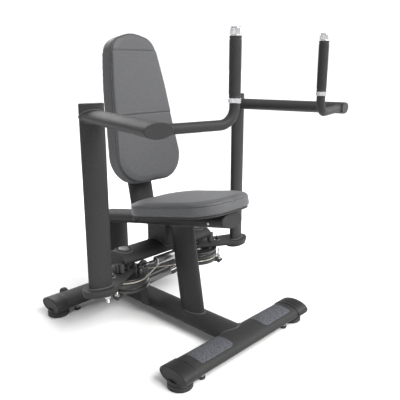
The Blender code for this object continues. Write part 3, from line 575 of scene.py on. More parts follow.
def evened(outline, count):
    # the same closed outline with points at equal steps
    lengths = [0.0]
    for n, p in enumerate(outline):
        lengths.append(lengths[-1] + (outline[(n + 1) % len(outline)] - p).length)
    made, n = [], 0
    for k in range(count):
        want = lengths[-1] * k / count
        while lengths[n + 1] < want:
            n += 1
        share = (want - lengths[n]) / (lengths[n + 1] - lengths[n])
        made.append(outline[n].lerp(outline[(n + 1) % len(outline)], share))
    return made


def ringAt(at, radius, steps=64):
    return [Vector((at.x + math.cos(a) * radius, at.y + math.sin(a) * radius))
            for a in (2 * math.pi * n / steps for n in range(steps))]


def axesAt(origin, axis, across):
    axis = Vector(axis).normalized()
    across = Vector(across)
    across = (across - axis * across.dot(axis)).normalized()
    turn = Matrix((across, axis.cross(across), axis)).transposed().to_4x4()
    return Matrix.Translation(origin) @ turn


def softProfile(profile, radius, steps=4):
    # rounds the inner corners of an open profile
    made = [profile[0]]
    for n in range(1, len(profile) - 1):
        here = Vector(profile[n])
        back = Vector(profile[n - 1]) - here
        ahead = Vector(profile[n + 1]) - here
        reach = min(radius, back.length * 0.45, ahead.length * 0.45)
        start = here + back.normalized() * reach
        end = here + ahead.normalized() * reach
        for k in range(steps + 1):
            t = k / steps
            made.append(tuple(start.lerp(here, t).lerp(here.lerp(end, t), t)))
    return made + [profile[-1]]


# welds: a bead where one oval tube lands on another
class OvalTube:
    def __init__(self, start, end, wide, halfWide, halfThin):
        self.start, self.end = Vector(start), Vector(end)
        self.along = (self.end - self.start).normalized()
        wide = Vector(wide)
        self.wide = (wide - self.along * wide.dot(self.along)).normalized()
        self.thin = self.along.cross(self.wide)
        self.halfWide, self.halfThin = halfWide, halfThin

    def line(self, a):
        return (self.start + self.wide * self.halfWide * math.cos(a)
                + self.thin * self.halfThin * math.sin(a))

    def reach(self, point, way):
        # distances along a line at which it goes in and out of this tube
        rel = point - self.start
        px, dx = rel.dot(self.wide) / self.halfWide, way.dot(self.wide) / self.halfWide
        py, dy = rel.dot(self.thin) / self.halfThin, way.dot(self.thin) / self.halfThin
        a, b, c = dx * dx + dy * dy, px * dx + py * dy, px * px + py * py - 1
        inside = math.sqrt(max(b * b - a * c, 0))
        return (-b - inside) / a, (-b + inside) / a


weld = {"radius": 0.0034, "pitch": 0.0042, "steps": 10}


def weldBead(shape, path, radius=None, seed=1):
    radius = radius or weld["radius"]
    total = sum((path[n] - path[n - 1]).length for n in range(len(path)))
    count = max(24, int(total / weld["pitch"] * 6))
    run = evened(path, count)
    dice = random.Random(seed)
    scallop = [1 + dice.uniform(-0.10, 0.12) for n in range(count // 6 + 2)]

    def size(n):
        return radius * scallop[n // 6] * (0.86 + 0.22 * abs(math.sin(math.pi * n / 6)))

    shape.swept(run, size, weld["steps"], closed=True)


def landing(tube, onto, far=False, steps=96):
    path = []
    for n in range(steps):
        start = tube.line(2 * math.pi * n / steps)
        near, out = onto.reach(start, tube.along)
        path.append(start + tube.along * (out if far else near))
    return path


# base: two foot bars, the beam between them, end caps, feet and grit strips
base = {
    "wide": 0.060,          # half sizes of the frame's oval tube
    "thin": 0.0285,
    "capWide": 0.064,
    "capThin": 0.0305,
    "capLength": 0.066,
    "barInset": 0.004,      # the bars end inside their caps
    "footRadius": 0.0445,
    "footInset": 0.037,
    "glideX": 0.243,
    "glideShift": -0.022,   # the glides stand a little in front of the bar's middle
}
frontLow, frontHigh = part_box("front_foot_tube")
rearLow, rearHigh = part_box("rear_foot_tube")
beamLow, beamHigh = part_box("main_beam")
barY = {"front": (frontLow.y + frontHigh.y) / 2, "rear": (rearLow.y + rearHigh.y) / 2}
barZ = (frontLow.z + frontHigh.z) / 2
beamZ = (beamLow.z + beamHigh.z) / 2
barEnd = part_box("end_cap_front_right")[1].x
tubes = {}


def frameTube(name, tube, finish, body, slot, replaces, edge=0.0):
    shape = Shape()
    shape.oval(tube.start, tube.end, tube.wide, tube.halfWide, tube.halfThin, edge=edge)
    tubes[name] = tube
    return shape.piece(name, finish, body, slot, replaces)


def endCap(end, side):
    sign = signOf[side]
    y = barY[end]
    outer = sign * barEnd
    shape = Shape()
    wide, thin, deep = base["capWide"], base["capThin"], base["capLength"]
    stations = [     # distance in from the end, inset of the oval
        (deep, 0.0035), (deep, 0.0006), (deep - 0.0012, 0.0), (deep - 0.009, 0.0),
        (deep - 0.010, 0.0006), (deep - 0.011, 0.0006), (deep - 0.012, 0.0)]
    soft = 0.0045
    for n in range(6):
        a = math.pi / 2 * n / 5
        stations.append((soft * (1 - math.sin(a)), soft * (1 - math.cos(a))))
    stations += [(0.0, 0.0075), (0.0011, 0.0084), (0.0013, 0.0094), (0.0013, 0.020)]
    shape.rings([[Vector((outer - sign * d, y + (wide - e) * math.cos(a),
                          barZ + (thin - e * 0.9) * math.sin(a)))
                  for a in (2 * math.pi * n / 96 for n in range(96))] for d, e in stations])
    # the cap's lower collar and the round rubber foot
    at = Vector((outer - sign * base["footInset"], y, 0))
    r = base["footRadius"]
    collar = softProfile([(0, 0.034), (r - 0.002, 0.034), (r - 0.0015, 0.0205), (0, 0.0205)], 0.0015)
    shape.turned(collar, at, steps=72)
    shape.piece("endCap_%s_%s" % (end, side), capPlastic, "frame", "end_plastic",
                ("end_cap_%s_%s" % (end, side),))
    foot = Shape()
    tread = [(0, 0.0), (r - 0.010, 0.0), (r - 0.0095, 0.0012), (r - 0.006, 0.0012), (r - 0.0055, 0.0),
             (r - 0.0015, 0.0), (r, 0.0028), (r, 0.0075), (r - 0.0012, 0.0085), (r - 0.0012, 0.0105),
             (r, 0.0115), (r, 0.0190), (r - 0.0012, 0.0202), (0, 0.0202)]
    foot.turned(softProfile(tread, 0.0006, 2), at, steps=72)
    foot.piece("rubberFoot_%s_%s" % (end, side), rubber, "frame", "wheel_rubber")


def glide(end, side):
    # small levelling foot inboard of the cap, on its bolt
    at = Vector((signOf[side] * base["glideX"], barY[end] + base["glideShift"], 0))
    shape = Shape()
    profile = [(0, 0.0), (0.0120, 0.0), (0.0135, 0.0018), (0.0135, 0.0085), (0.0105, 0.0112), (0, 0.0112)]
    shape.turned(softProfile(profile, 0.001, 2), at, steps=40)
    shape.piece("glideFoot_%s_%s" % (end, side), rubber, "frame", "wheel_rubber")
    bolt = Shape()
    hexNut(bolt, at + zAxis * 0.0150, zAxis, 0.0085, 0.0050)
    bolt.turned([(0, 0.0112), (0.0045, 0.0112), (0.0045, 0.030), (0, 0.030)], at, steps=24)
    washer(bolt, at + zAxis * 0.0116, zAxis, 0.0100, 0.0045, 0.0015)
    bolt.piece("glideBolt_%s_%s" % (end, side), zinc, "frame", "shaft_steel")


def hexNut(shape, at, axis, across, height):
    # six flats with the corners turned off; across is from the middle to a corner
    axis = Vector(axis).normalized()
    u = sideways(axis)
    v = axis.cross(u)
    rings = []
    for level, cut in ((0, 0.90), (0.12, 1.0), (0.88, 1.0), (1, 0.90)):
        ring = []
        for n in range(36):
            a = 2 * math.pi * n / 36
            flat = across * math.cos(math.pi / 6) / math.cos((a % (math.pi / 3)) - math.pi / 6)
            r = min(flat, across * (0.93 if cut < 1 else 1.0) * cut)
            ring.append(at + axis * height * (level - 0.5) + (u * math.cos(a) + v * math.sin(a)) * r)
        rings.append(ring)
    shape.rings(rings)


def washer(shape, at, axis, outer, inner, thick):
    ring = [(outer - 0.0003, thick), (outer, thick - 0.0003), (outer, 0.0003), (outer - 0.0003, 0),
            (inner, 0), (inner, thick)]
    shape.turned(ring, at, axis, 40)


def acornNut(shape, at, axis, across=0.0105, height=0.019):
    # domed nut standing on its face
    axis = Vector(axis).normalized()
    hexNut(shape, at + axis * height * 0.25, axis, across, height * 0.5)
    dome = [(0, height)]
    for n in range(1, 9):
        a = math.pi / 2 * n / 8
        dome.append((across * 0.80 * math.sin(a), height * 0.52 + height * 0.48 * math.cos(a)))
    dome += [(across * 0.80, height * 0.40), (0, height * 0.40)]
    shape.turned(dome, at, axis, 36)


def boltHead(shape, at, axis, across=0.0095, height=0.0065, washerSize=0.0125):
    axis = Vector(axis).normalized()
    washer(shape, at, axis, washerSize, 0.004, 0.0016)
    hexNut(shape, at + axis * (0.0016 + height / 2), axis, across, height)


def capScrew(shape, at, axis, radius=0.0065, height=0.0050):
    # round head with a hexagon socket
    axis = Vector(axis).normalized()
    u = sideways(axis)
    v = axis.cross(u)

    def ring(r, h, six=False):
        made = []
        for n in range(36):
            a = 2 * math.pi * n / 36
            flat = r * math.cos(math.pi / 6) / math.cos((a % (math.pi / 3)) - math.pi / 6) if six else r
            made.append(at + axis * h + (u * math.cos(a) + v * math.sin(a)) * flat)
        return made

    shape.rings([ring(radius, 0), ring(radius, height * 0.6), ring(radius * 0.88, height * 0.9),
                 ring(radius * 0.70, height), ring(radius * 0.50, height, True),
                 ring(radius * 0.48, height * 0.45, True)])


strip = {"arc": 44, "crown": 0.052, "thick": 0.0017, "corner": 0.012, "cell": 0.0019,
         "grain": 0.00055, "gap": 0.0003, "rim": 0.0006, "skirt": 0.001}


def gritStrip(side):
    low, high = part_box("grip_strip_" + side)
    length = high.x - low.x
    halfArc = math.radians(strip["arc"])
    spread = 2 * halfArc * strip["crown"]     # arc length over the bar's crown
    columns = int(length / strip["cell"])
    rows = int(spread / strip["cell"])
    dice = random.Random(17 + signOf[side])
    shape = Shape()

    def placed(s, t, lift):
        a = t / spread * 2 * halfArc
        lift += strip["gap"]
        return Vector((low.x + length / 2 + s, barY["front"] + (base["wide"] + lift) * math.sin(a),
                       barZ + (base["thin"] + lift) * math.cos(a)))

    def clampCorner(s, t):
        # pulls a grid point inside the rounded corner
        r = strip["corner"]
        cs = math.copysign(max(length / 2 - r, 0), s)
        ct = math.copysign(max(spread / 2 - r, 0), t)
        if abs(s) > abs(cs) and abs(t) > abs(ct):
            away = Vector((s - cs, t - ct))
            if away.length > r:
                away *= r / away.length
                return cs + away.x, ct + away.y
        return s, t

    grid = []
    for i in range(columns + 1):
        line = []
        for k in range(rows + 1):
            s, t = clampCorner(length * (i / columns - 0.5), spread * (k / rows - 0.5))
            rim = i in (0, columns) or k in (0, rows)
            lift = strip["rim"] if rim else strip["thick"] - 0.0005 + dice.random() * strip["grain"]
            line.append(placed(s, t, lift))
        grid.append(line)
    first = len(shape.points)
    for line in grid:
        shape.points += [tuple(p) for p in line]
    wide = rows + 1
    for i in range(columns):
        for k in range(rows):
            n = first + i * wide + k
            shape.faces.append((n, n + 1, n + wide + 1, n + wide))
    # skirt down to the bar
    rimAt = ([(i, 0) for i in range(columns)] + [(columns, k) for k in range(rows)]
             + [(i, rows) for i in range(columns, 0, -1)] + [(0, k) for k in range(rows, 0, -1)])
    top = [first + i * wide + k for i, k in rimAt]
    foot = len(shape.points)
    for i, k in rimAt:
        s, t = clampCorner(length * (i / columns - 0.5), spread * (k / rows - 0.5))
        shape.points.append(tuple(placed(s, t, -strip["skirt"])))
    count = len(rimAt)
    for n in range(count):
        m = (n + 1) % count
        shape.faces.append((top[n], top[m], foot + m, foot + n))
    shape.faces.append(tuple(foot + n for n in range(count)))
    return shape.piece("gritStrip_" + side, grit, "frame", "grit", ("grip_strip_" + side,), 60)


def buildBase():
    reach = barEnd - base["barInset"]
    frontBar, rearBar = (OvalTube((-reach, y, barZ), (reach, y, barZ), yAxis, base["wide"], base["thin"])
                         for y in (barY["front"], barY["rear"]))
    beam = OvalTube((0, barY["front"], beamZ), (0, barY["rear"], beamZ), xAxis,
                    base["wide"], base["thin"])
    frameTube("frontFootTube", frontBar, coat, "frame", "frame_paint", ("front_foot_tube",))
    frameTube("rearFootTube", rearBar, coat, "frame", "frame_paint", ("rear_foot_tube",))
    frameTube("mainBeam", beam, coat, "frame", "frame_paint", ("main_beam",))
    for end in ("front", "rear"):
        for side in signOf:
            endCap(end, side)
            glide(end, side)
    for side in signOf:
        gritStrip(side)
    beads = Shape()
    weldBead(beads, landing(beam, frontBar, far=True), seed=2)
    weldBead(beads, landing(beam, rearBar), seed=3)
    return beads


# wheels behind the rear bar
wheel = {"half": 0.012, "radius": 0.028, "cheek": 0.0055}


def transportWheel(side):
    at = jointAt["wheel_" + side]
    r, half = wheel["radius"], wheel["half"]
    tyre = Shape()
    tread = [(0.0145, half - 0.0015), (0.0185, half), (r - 0.006, half), (r - 0.0015, half - 0.0025),
             (r, half - 0.006), (r, 0.0022), (r - 0.0010, 0.0012), (r - 0.0010, -0.0012), (r, -0.0022),
             (r, 0.006 - half), (r - 0.0015, 0.0025 - half), (r - 0.006, -half), (0.0185, -half),
             (0.0145, 0.0015 - half)]
    tyre.turned(tread, at, xAxis, 72)
    tyre.piece("wheelTyre_" + side, rubber, "wheel_" + side, "wheel_rubber",
               ("transport_wheel_" + side,))
    hub = Shape()
    bore = 0.0054
    hub.turned([(bore, half - 0.001), (0.0075, half - 0.001), (0.0082, half - 0.003),
                (0.0130, half - 0.0035), (0.0147, half - 0.0018), (0.0147, 0.0018 - half),
                (0.0130, 0.0035 - half), (0.0082, 0.003 - half), (0.0075, 0.001 - half),
                (bore, 0.001 - half)], at, xAxis, 48)
    for n in range(5):
        a = 2 * math.pi * n / 5
        spot = at + yAxis * 0.0106 * math.cos(a) + zAxis * 0.0106 * math.sin(a)
        for way in (1, -1):
            hub.turned([(0, half - 0.0026), (0.0013, half - 0.0026), (0.0016, half - 0.0032),
                        (0, half - 0.0032)], spot, xAxis * way, 12)
    hub.piece("wheelHub_" + side, greyPlastic, "wheel_" + side, "wheel_rubber")


def wheelBracket(side):
    at = jointAt["wheel_" + side]
    sign = signOf[side]
    low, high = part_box("wheel_bracket_" + side)
    outline = [Vector((barY["rear"] + 0.040, low.z + 0.001)), Vector((at.y, at.z - 0.0130)),
               Vector((at.y + 0.0130, at.z - 0.0130)), Vector((at.y + 0.0130, at.z + 0.0130)),
               Vector((at.y, at.z + 0.0140)), Vector((barY["rear"] + 0.040, high.z))]
    outline = rounded(outline, [0.002, 0.0008, 0.0120, 0.0120, 0.0008, 0.002])
    place = axesAt((0, 0, 0), xAxis, yAxis)
    shape = Shape()
    near = at.x + sign * (wheel["half"] + 0.0008)
    far = near + sign * wheel["cheek"]
    shape.slab(outline, min(near, far), max(near, far), place, 0.0008)
    shape.piece("wheelBracket_" + side, coat, "frame", "frame_paint", ("wheel_bracket_" + side,))
    pin = Shape()
    pin.turned([(0, -wheel["half"] - 0.0030), (0.0048, -wheel["half"] - 0.0030),
                (0.0048, wheel["half"] + 0.0070), (0, wheel["half"] + 0.0070)], at, xAxis * sign, 32)
    hexNut(pin, at - xAxis * sign * (wheel["half"] + 0.0030), xAxis, 0.0085, 0.0032)
    capScrew(pin, at + xAxis * sign * (wheel["half"] + 0.0063), xAxis * sign, 0.0080, 0.0030)
    pin.piece("wheelAxle_" + side, zinc, "frame", "shaft_steel")


# seat tube, seat post, rear leg, cross beam and hanger
seatFrameSize = {
    "wide": 0.055,
    "thin": 0.0285,
    "tilt": math.radians(10),
    "height": 0.4432,        # centre of the seat tube over the origin
    "frontY": -0.2976,
    "rearY": barY["rear"] + 0.037,
    "postFootY": -0.099,
    "postHeadY": -0.036,
    "legY": barY["rear"] - 0.005,
    "screwY": -0.232,
}


def seatLine(y):
    return Vector((0, y, seatFrameSize["height"] - y * math.tan(seatFrameSize["tilt"])))


def buildUprights(beads):
    s = seatFrameSize
    start, end = seatLine(s["frontY"]), seatLine(s["rearY"])
    seatTube = OvalTube(start, end, xAxis, s["wide"], s["thin"])
    shape = Shape()
    shape.oval(start, end, xAxis, s["wide"], s["thin"], edge=0.0006)
    tubes["seatTube"] = seatTube
    shape.piece("seatTube", coat, "frame", "frame_paint", ("seat_tube",))
    back = (start - end).normalized()
    lid = Shape()
    lid.oval(start + back * 0.0003, start + back * 0.0031, xAxis, s["wide"] - 0.0004,
             s["thin"] - 0.0004, edge=0.0009)
    lid.piece("seatTubeLid", coat, "frame", "tube_cap", ("seat_tube_cap",))
    plug = Shape()
    plug.oval(end, end - back * 0.0024, xAxis, s["wide"] - 0.0030, s["thin"] - 0.0030, edge=0.0010)
    plug.piece("seatTubePlug", tubePlastic, "frame", "tube_cap")

    beam, rearBar = tubes["mainBeam"], tubes["rearFootTube"]
    foot = Vector((0, s["postFootY"], beamHigh.z))
    head = seatLine(s["postHeadY"])
    along = (head - foot).normalized()
    post = OvalTube(foot - along * 0.02, head, yAxis, base["wide"], base["thin"])
    frameTube("seatPost", post, coat, "frame", "frame_paint", ("seat_post",))
    weldBead(beads, landing(post, beam, far=True), seed=4)
    weldBead(beads, landing(post, seatTube), seed=5)
    leg = OvalTube(Vector((0, s["legY"], barZ)), seatLine(s["legY"]), xAxis, base["wide"], base["thin"])
    frameTube("rearLeg", leg, coat, "frame", "frame_paint", ("rear_leg",))
    weldBead(beads, landing(leg, rearBar, far=True), seed=6)
    weldBead(beads, landing(leg, seatTube), seed=7)


stops = {"outward": 0.002, "front": 0.0470, "thick": 0.010, "outer": 0.019, "inner": 0.0115,
         "rise": 0.018, "gap": 0.0026, "bufferOut": 0.0500, "bufferBack": 0.0450}
cross = {"wide": 0.060, "thin": 0.0285, "housing": 0.035, "bore": 0.026, "button": 0.0205}


def archOutline(foot, outer, inner, rise):
    # upside-down U standing on its two feet
    run = []
    for radius, way in ((outer, 1), (inner, -1)):
        bow = [Vector((foot.x + radius * math.cos(a), foot.y + rise + radius * math.sin(a)))
               for a in (math.pi * n / 24 for n in range(25))]
        run += [Vector((foot.x + radius * way, foot.y))] + bow[::way]
        run += [Vector((foot.x - radius * way, foot.y))]
    return run


def buildCross(beads):
    low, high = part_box("cross_beam")
    y, z = (low.y + high.y) / 2, (low.z + high.z) / 2
    beam = OvalTube((low.x, y, z), (high.x, y, z), yAxis, cross["wide"], cross["thin"])
    frameTube("crossBeam", beam, coat, "frame", "frame_paint", ("cross_beam",), edge=0.0012)
    lids = Shape()
    for sign, x in ((-1, low.x), (1, high.x)):
        lids.oval((x - sign * 0.010, y, z), (x - sign * 0.0001, y, z), yAxis, cross["wide"] - 0.0035,
                  cross["thin"] - 0.0035, edge=0.0008)
    lids.piece("crossBeamLids", coat, "frame", "frame_paint")
    hangLow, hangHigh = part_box("hanger")
    box = Shape()
    corners = [Vector((hangLow.x, hangLow.y)), Vector((hangHigh.x, hangLow.y)),
               Vector((hangHigh.x, hangHigh.y)), Vector((hangLow.x, hangHigh.y))]
    seatTube = tubes["seatTube"]
    box.slab(rounded(corners, 0.006), z, seatLine(y).z, edge=0.001)
    box.piece("hanger", coat, "frame", "frame_paint", ("hanger",))
    outline = evened(rounded(corners, 0.006), 160)
    up, down = [], []
    for p in outline:
        inside = math.sqrt(max(1 - ((p.y - y) / cross["wide"]) ** 2, 0))
        down.append(Vector((p.x, p.y, z + cross["thin"] * inside)))
        start = Vector((p.x, p.y, 0.3))
        up.append(start + zAxis * seatTube.reach(start, zAxis)[0])
    weldBead(beads, up, 0.0028, 8)
    weldBead(beads, down, 0.0028, 9)
    for side in signOf:
        at = jointAt["arm_" + side]
        houseLow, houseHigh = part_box("pivot_housing_" + side)
        r = cross["housing"]
        ring = Shape()
        rim = [(cross["bore"], houseHigh.z - 0.0012), (cross["bore"] + 0.0010, houseHigh.z),
               (r - 0.0055, houseHigh.z), (r - 0.0045, houseHigh.z - 0.0012),
               (r - 0.0025, houseHigh.z - 0.0016), (r, houseHigh.z - 0.0034), (r, houseLow.z + 0.001),
               (r - 0.001, houseLow.z), (cross["bore"], houseLow.z)]
        ring.turned(rim, Vector((at.x, at.y, 0)), steps=96)
        ring.piece("pivotHousing_" + side, coat, "frame", "frame_paint", ("pivot_housing_" + side,))
        for onTop in (True, False):
            path = []
            for n in range(96):
                a = 2 * math.pi * n / 96
                dy = r * math.sin(a)
                bow = cross["thin"] * math.sqrt(max(1 - (dy / cross["wide"]) ** 2, 0))
                path.append(Vector((at.x + r * math.cos(a), at.y + dy, z + (bow if onTop else -bow))))
            weldBead(beads, path, 0.0030, 10 + onTop)
        capLow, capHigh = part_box("pivot_cap_" + side)
        button = Shape()
        b = cross["button"]
        dome = [(0, capHigh.z), (b * 0.30, capHigh.z - 0.0001), (b * 0.34, capHigh.z - 0.0007),
                (b * 0.44, capHigh.z - 0.0007), (b * 0.48, capHigh.z - 0.0001),
                (b * 0.86, capHigh.z - 0.0005), (b * 0.97, capHigh.z - 0.0016),
                (b, capHigh.z - 0.0030), (b, capLow.z), (0, capLow.z)]
        button.turned(dome, Vector((at.x, at.y, 0)), steps=72)
        button.piece("pivotButton_" + side, greyPlastic, "frame", "pivot_button",
                     ("pivot_cap_" + side,))
        frame["nodes"]["pivot_bush_" + side].data.materials[0] = bronze
        # between the beam and the lever: an arched stop on one side, buffers on both
        sign = signOf[side]
        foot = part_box("lever_plate_" + side)[1].z + stops["gap"]
        if side == "left":
            stop = Shape()
            arch = archOutline(Vector((at.x + sign * stops["outward"], foot)), stops["outer"],
                               stops["inner"], stops["rise"])
            face = stops["front"] - y
            stop.slab(arch, face - stops["thick"], face, axesAt((0, 0, 0), -yAxis, xAxis), 0.0010)
            stop.piece("stopArch", coat, "frame", "frame_paint")
        bumper = Shape()
        spot = Vector((at.x + sign * stops["bufferOut"], y - stops["bufferBack"], 0))
        top = z - 0.004
        bumper.turned([(0, foot + 0.001), (0.0095, foot + 0.001), (0.0115, foot + 0.003),
                       (0.0115, foot + 0.0085), (0.0105, foot + 0.0095), (0.0105, foot + 0.0105),
                       (0.0125, foot + 0.0115), (0.0125, top), (0, top)], spot, steps=48)
        bumper.turned([(0, foot + 0.004), (0.0070, foot + 0.004), (0.0075, foot + 0.005), (0.0075, top),
                       (0, top)], spot + xAxis * sign * 0.0165 + yAxis * 0.006, steps=36)
        bumper.piece("stopBuffer_" + side, tubePlastic, "frame", "wheel_rubber")


# arms: post, bar, handle and grip on each side
armSize = {
    "wide": 0.044,
    "thin": 0.022,
    "postX": 0.378,
    "postY": -0.006,
    "postTurn": math.radians(14.7),
    "barZ": 0.8769,
    "splay": math.radians(13.57),
    "barLength": 0.4641,
    "handleAlong": 0.4422,
    "handleAcross": 0.2555,
    "handleRadius": 0.015,
    "bend": 0.050,
    "lever": 0.045,
    "margin": 0.024,
}


def postAt(side, z=0.0):
    return Vector((signOf[side] * armSize["postX"], armSize["postY"], z))


def postWide(side):
    turn = armSize["postTurn"]
    return Vector((signOf[side] * math.cos(turn), math.sin(turn), 0))


def barAlong(side):
    return Vector((signOf[side] * math.sin(armSize["splay"]), -math.cos(armSize["splay"]), 0))


def barInward(side):
    return Vector((-signOf[side] * math.cos(armSize["splay"]), -math.sin(armSize["splay"]), 0))


def buildArm(side):
    body = "arm_" + side
    a = armSize
    postLow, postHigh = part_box("arm_post_" + side)
    post = OvalTube(postAt(side, postLow.z), postAt(side, postHigh.z), postWide(side), a["wide"], a["thin"])
    frameTube("armPost_" + side, post, armCoatPaintedLighter, body, "frame_paint", ("arm_post_" + side,))
    capLow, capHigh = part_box("post_cap_" + side)
    lid = Shape()
    lid.oval(postAt(side, capLow.z), postAt(side, capHigh.z), postWide(side), a["wide"] - 0.0003,
             a["thin"] - 0.0003, edge=0.0009)
    lid.piece("postLid_" + side, armCoatPaintedLighter, body, "tube_cap", ("post_cap_" + side,))

    along, inward = barAlong(side), barInward(side)
    root = postAt(side, a["barZ"])
    end = root + along * (a["barLength"] - 0.0034)
    bar = OvalTube(root, end, inward, a["wide"], a["thin"])
    shape = Shape()
    shape.oval(root + along * 0.006, end, inward, a["wide"], a["thin"])
    shape.piece("armBar_" + side, armCoatPaintedLighter, body, "frame_paint", ("arm_bar_" + side,))
    face = Shape()
    face.oval(end + along * 0.0002, end + along * 0.0033, inward, a["wide"] - 0.0006,
              a["thin"] - 0.0006, edge=0.0008)
    face.piece("barLid_" + side, armCoatPaintedLighter, body, "tube_cap", ("bar_cap_" + side,))

    # the handle leaves the bar's inner side and turns up into the grip
    start = root + along * a["handleAlong"]
    corner = start + inward * a["handleAcross"]
    centre = corner - inward * a["bend"] + zAxis * a["bend"]
    path = [start + inward * 0.030, start + inward * 0.050]
    for n in range(25):
        t = math.pi / 2 * n / 24
        path.append(centre + inward * a["bend"] * math.sin(t) - zAxis * a["bend"] * math.cos(t))
    gripLow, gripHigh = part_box("grip_sleeve_" + side)
    path.append(Vector((corner.x, corner.y, gripLow.z)))
    path.append(Vector((corner.x, corner.y, gripHigh.z - 0.001)))
    handle = Shape()
    handle.swept(path, a["handleRadius"], 40)
    handle.piece("handleTube_" + side, armCoatPaintedLighter, body, "frame_paint", ("handle_tube_" + side,))

    beads = Shape()
    weldBead(beads, landing(bar, post, far=True), 0.0030, 20)
    stub = OvalTube(start + inward * 0.2, start, zAxis, a["handleRadius"], a["handleRadius"])
    weldBead(beads, landing(stub, bar), 0.0024, 21)
    foot = [postAt(side, postLow.z + 0.0008) + postWide(side) * (a["wide"] + 0.001) * math.cos(t)
            + zAxis.cross(postWide(side)) * (a["thin"] + 0.001) * math.sin(t)
            for t in (2 * math.pi * n / 96 for n in range(96))]
    weldBead(beads, foot, 0.0034, 22)
    beads.piece("armWelds_" + side, weldCoatHighlight, body, "frame_paint")
    buildGrip(side, Vector((corner.x, corner.y, 0)), gripLow.z, gripHigh.z)
    buildLever(side)


grip = {"radius": 0.0173, "ridge": 0.0010, "around": 24, "pitch": 0.0052, "ringLow": 0.0142}


def buildGrip(side, at, low, high):
    body = "arm_" + side
    r = grip["radius"]
    rings = []
    steps = grip["around"] * 4
    levels = int((high - low - 0.010) / (grip["pitch"] / 4))
    for n in range(levels + 1):
        z = low + 0.005 + (high - low - 0.010) * n / levels
        ring = []
        for k in range(steps):
            a = 2 * math.pi * k / steps
            twist = (z - low) / grip["pitch"] * math.pi
            across = grip["around"] / 2 * a
            lozenge = abs(math.sin(across + twist)) * abs(math.sin(across - twist))
            fade = min(1, n / 6, (levels - n) / 6)
            size = r - grip["ridge"] + grip["ridge"] * min(1, lozenge * 1.6) * fade
            ring.append(Vector((at.x + size * math.cos(a), at.y + size * math.sin(a), z)))
        rings.append(ring)

    def plain(radius, z):
        return [Vector((at.x + radius * math.cos(a), at.y + radius * math.sin(a), z))
                for a in (2 * math.pi * k / steps for k in range(steps))]

    foot = [plain(0.0154, low), plain(r - 0.0008, low), plain(r - 0.0001, low + 0.0008),
            plain(r - 0.0001, low + 0.0038), plain(r - 0.0006, low + 0.0045)]
    head = [plain(r - 0.0006, high - 0.0045), plain(r - 0.0001, high - 0.0038),
            plain(r - 0.0001, high - 0.0008), plain(r - 0.0008, high), plain(0.0154, high)]
    sleeve = Shape()
    sleeve.rings(foot + rings + head)
    sleeve.piece("gripSleeve_" + side, gripSkin, body, "grip_rubber", ("grip_sleeve_" + side,), 50)
    capLow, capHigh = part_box("grip_cap_" + side)
    c = (capHigh.x - capLow.x) / 2
    cap = Shape()
    profile = [(0, capHigh.z - 0.0010), (c * 0.42, capHigh.z - 0.0010), (c * 0.50, capHigh.z - 0.0001),
               (c * 0.86, capHigh.z), (c, capHigh.z - 0.0024), (c, high + 0.0046),
               (c - 0.0007, high + 0.0040), (c - 0.0007, high + 0.0030), (c, high + 0.0024),
               (c, high + 0.0003), (0, high + 0.0003)]
    cap.turned(softProfile(profile, 0.0012, 3), at, steps=80)
    cap.piece("gripCap_" + side, chrome, body, "grip_chrome", ("grip_cap_" + side,))
    ring = Shape()
    top = low - 0.0003
    foot = top - grip["ringLow"]
    band = [(0.0152, top), (r - 0.0002, top), (r + 0.0010, top - 0.0012), (r + 0.0010, foot + 0.0012),
            (r - 0.0004, foot), (0.0152, foot)]
    ring.turned(band, at, steps=80)
    ring.piece("gripRing_" + side, chrome, body, "grip_chrome")


def flangeOutline(side, margin, steps=72):
    at, wide = postAt(side), postWide(side)
    thin = zAxis.cross(wide)
    halfWide, halfThin = armSize["wide"] + margin, armSize["thin"] + margin
    return [at + wide * halfWide * math.cos(t) + thin * halfThin * math.sin(t)
            for t in (2 * math.pi * n / steps for n in range(steps))]


# the disc under each lever: angles in degrees, the rest in metres
disc = {"radius": 0.097, "top": 0.2476, "bottom": 0.1937, "pinTop": 0.2690, "pinFoot": 0.1590,
        "shaftTop": 0.29, "nutReach": 0.106, "screwReach": 0.066, "screws": (58, 150, 212, 302)}


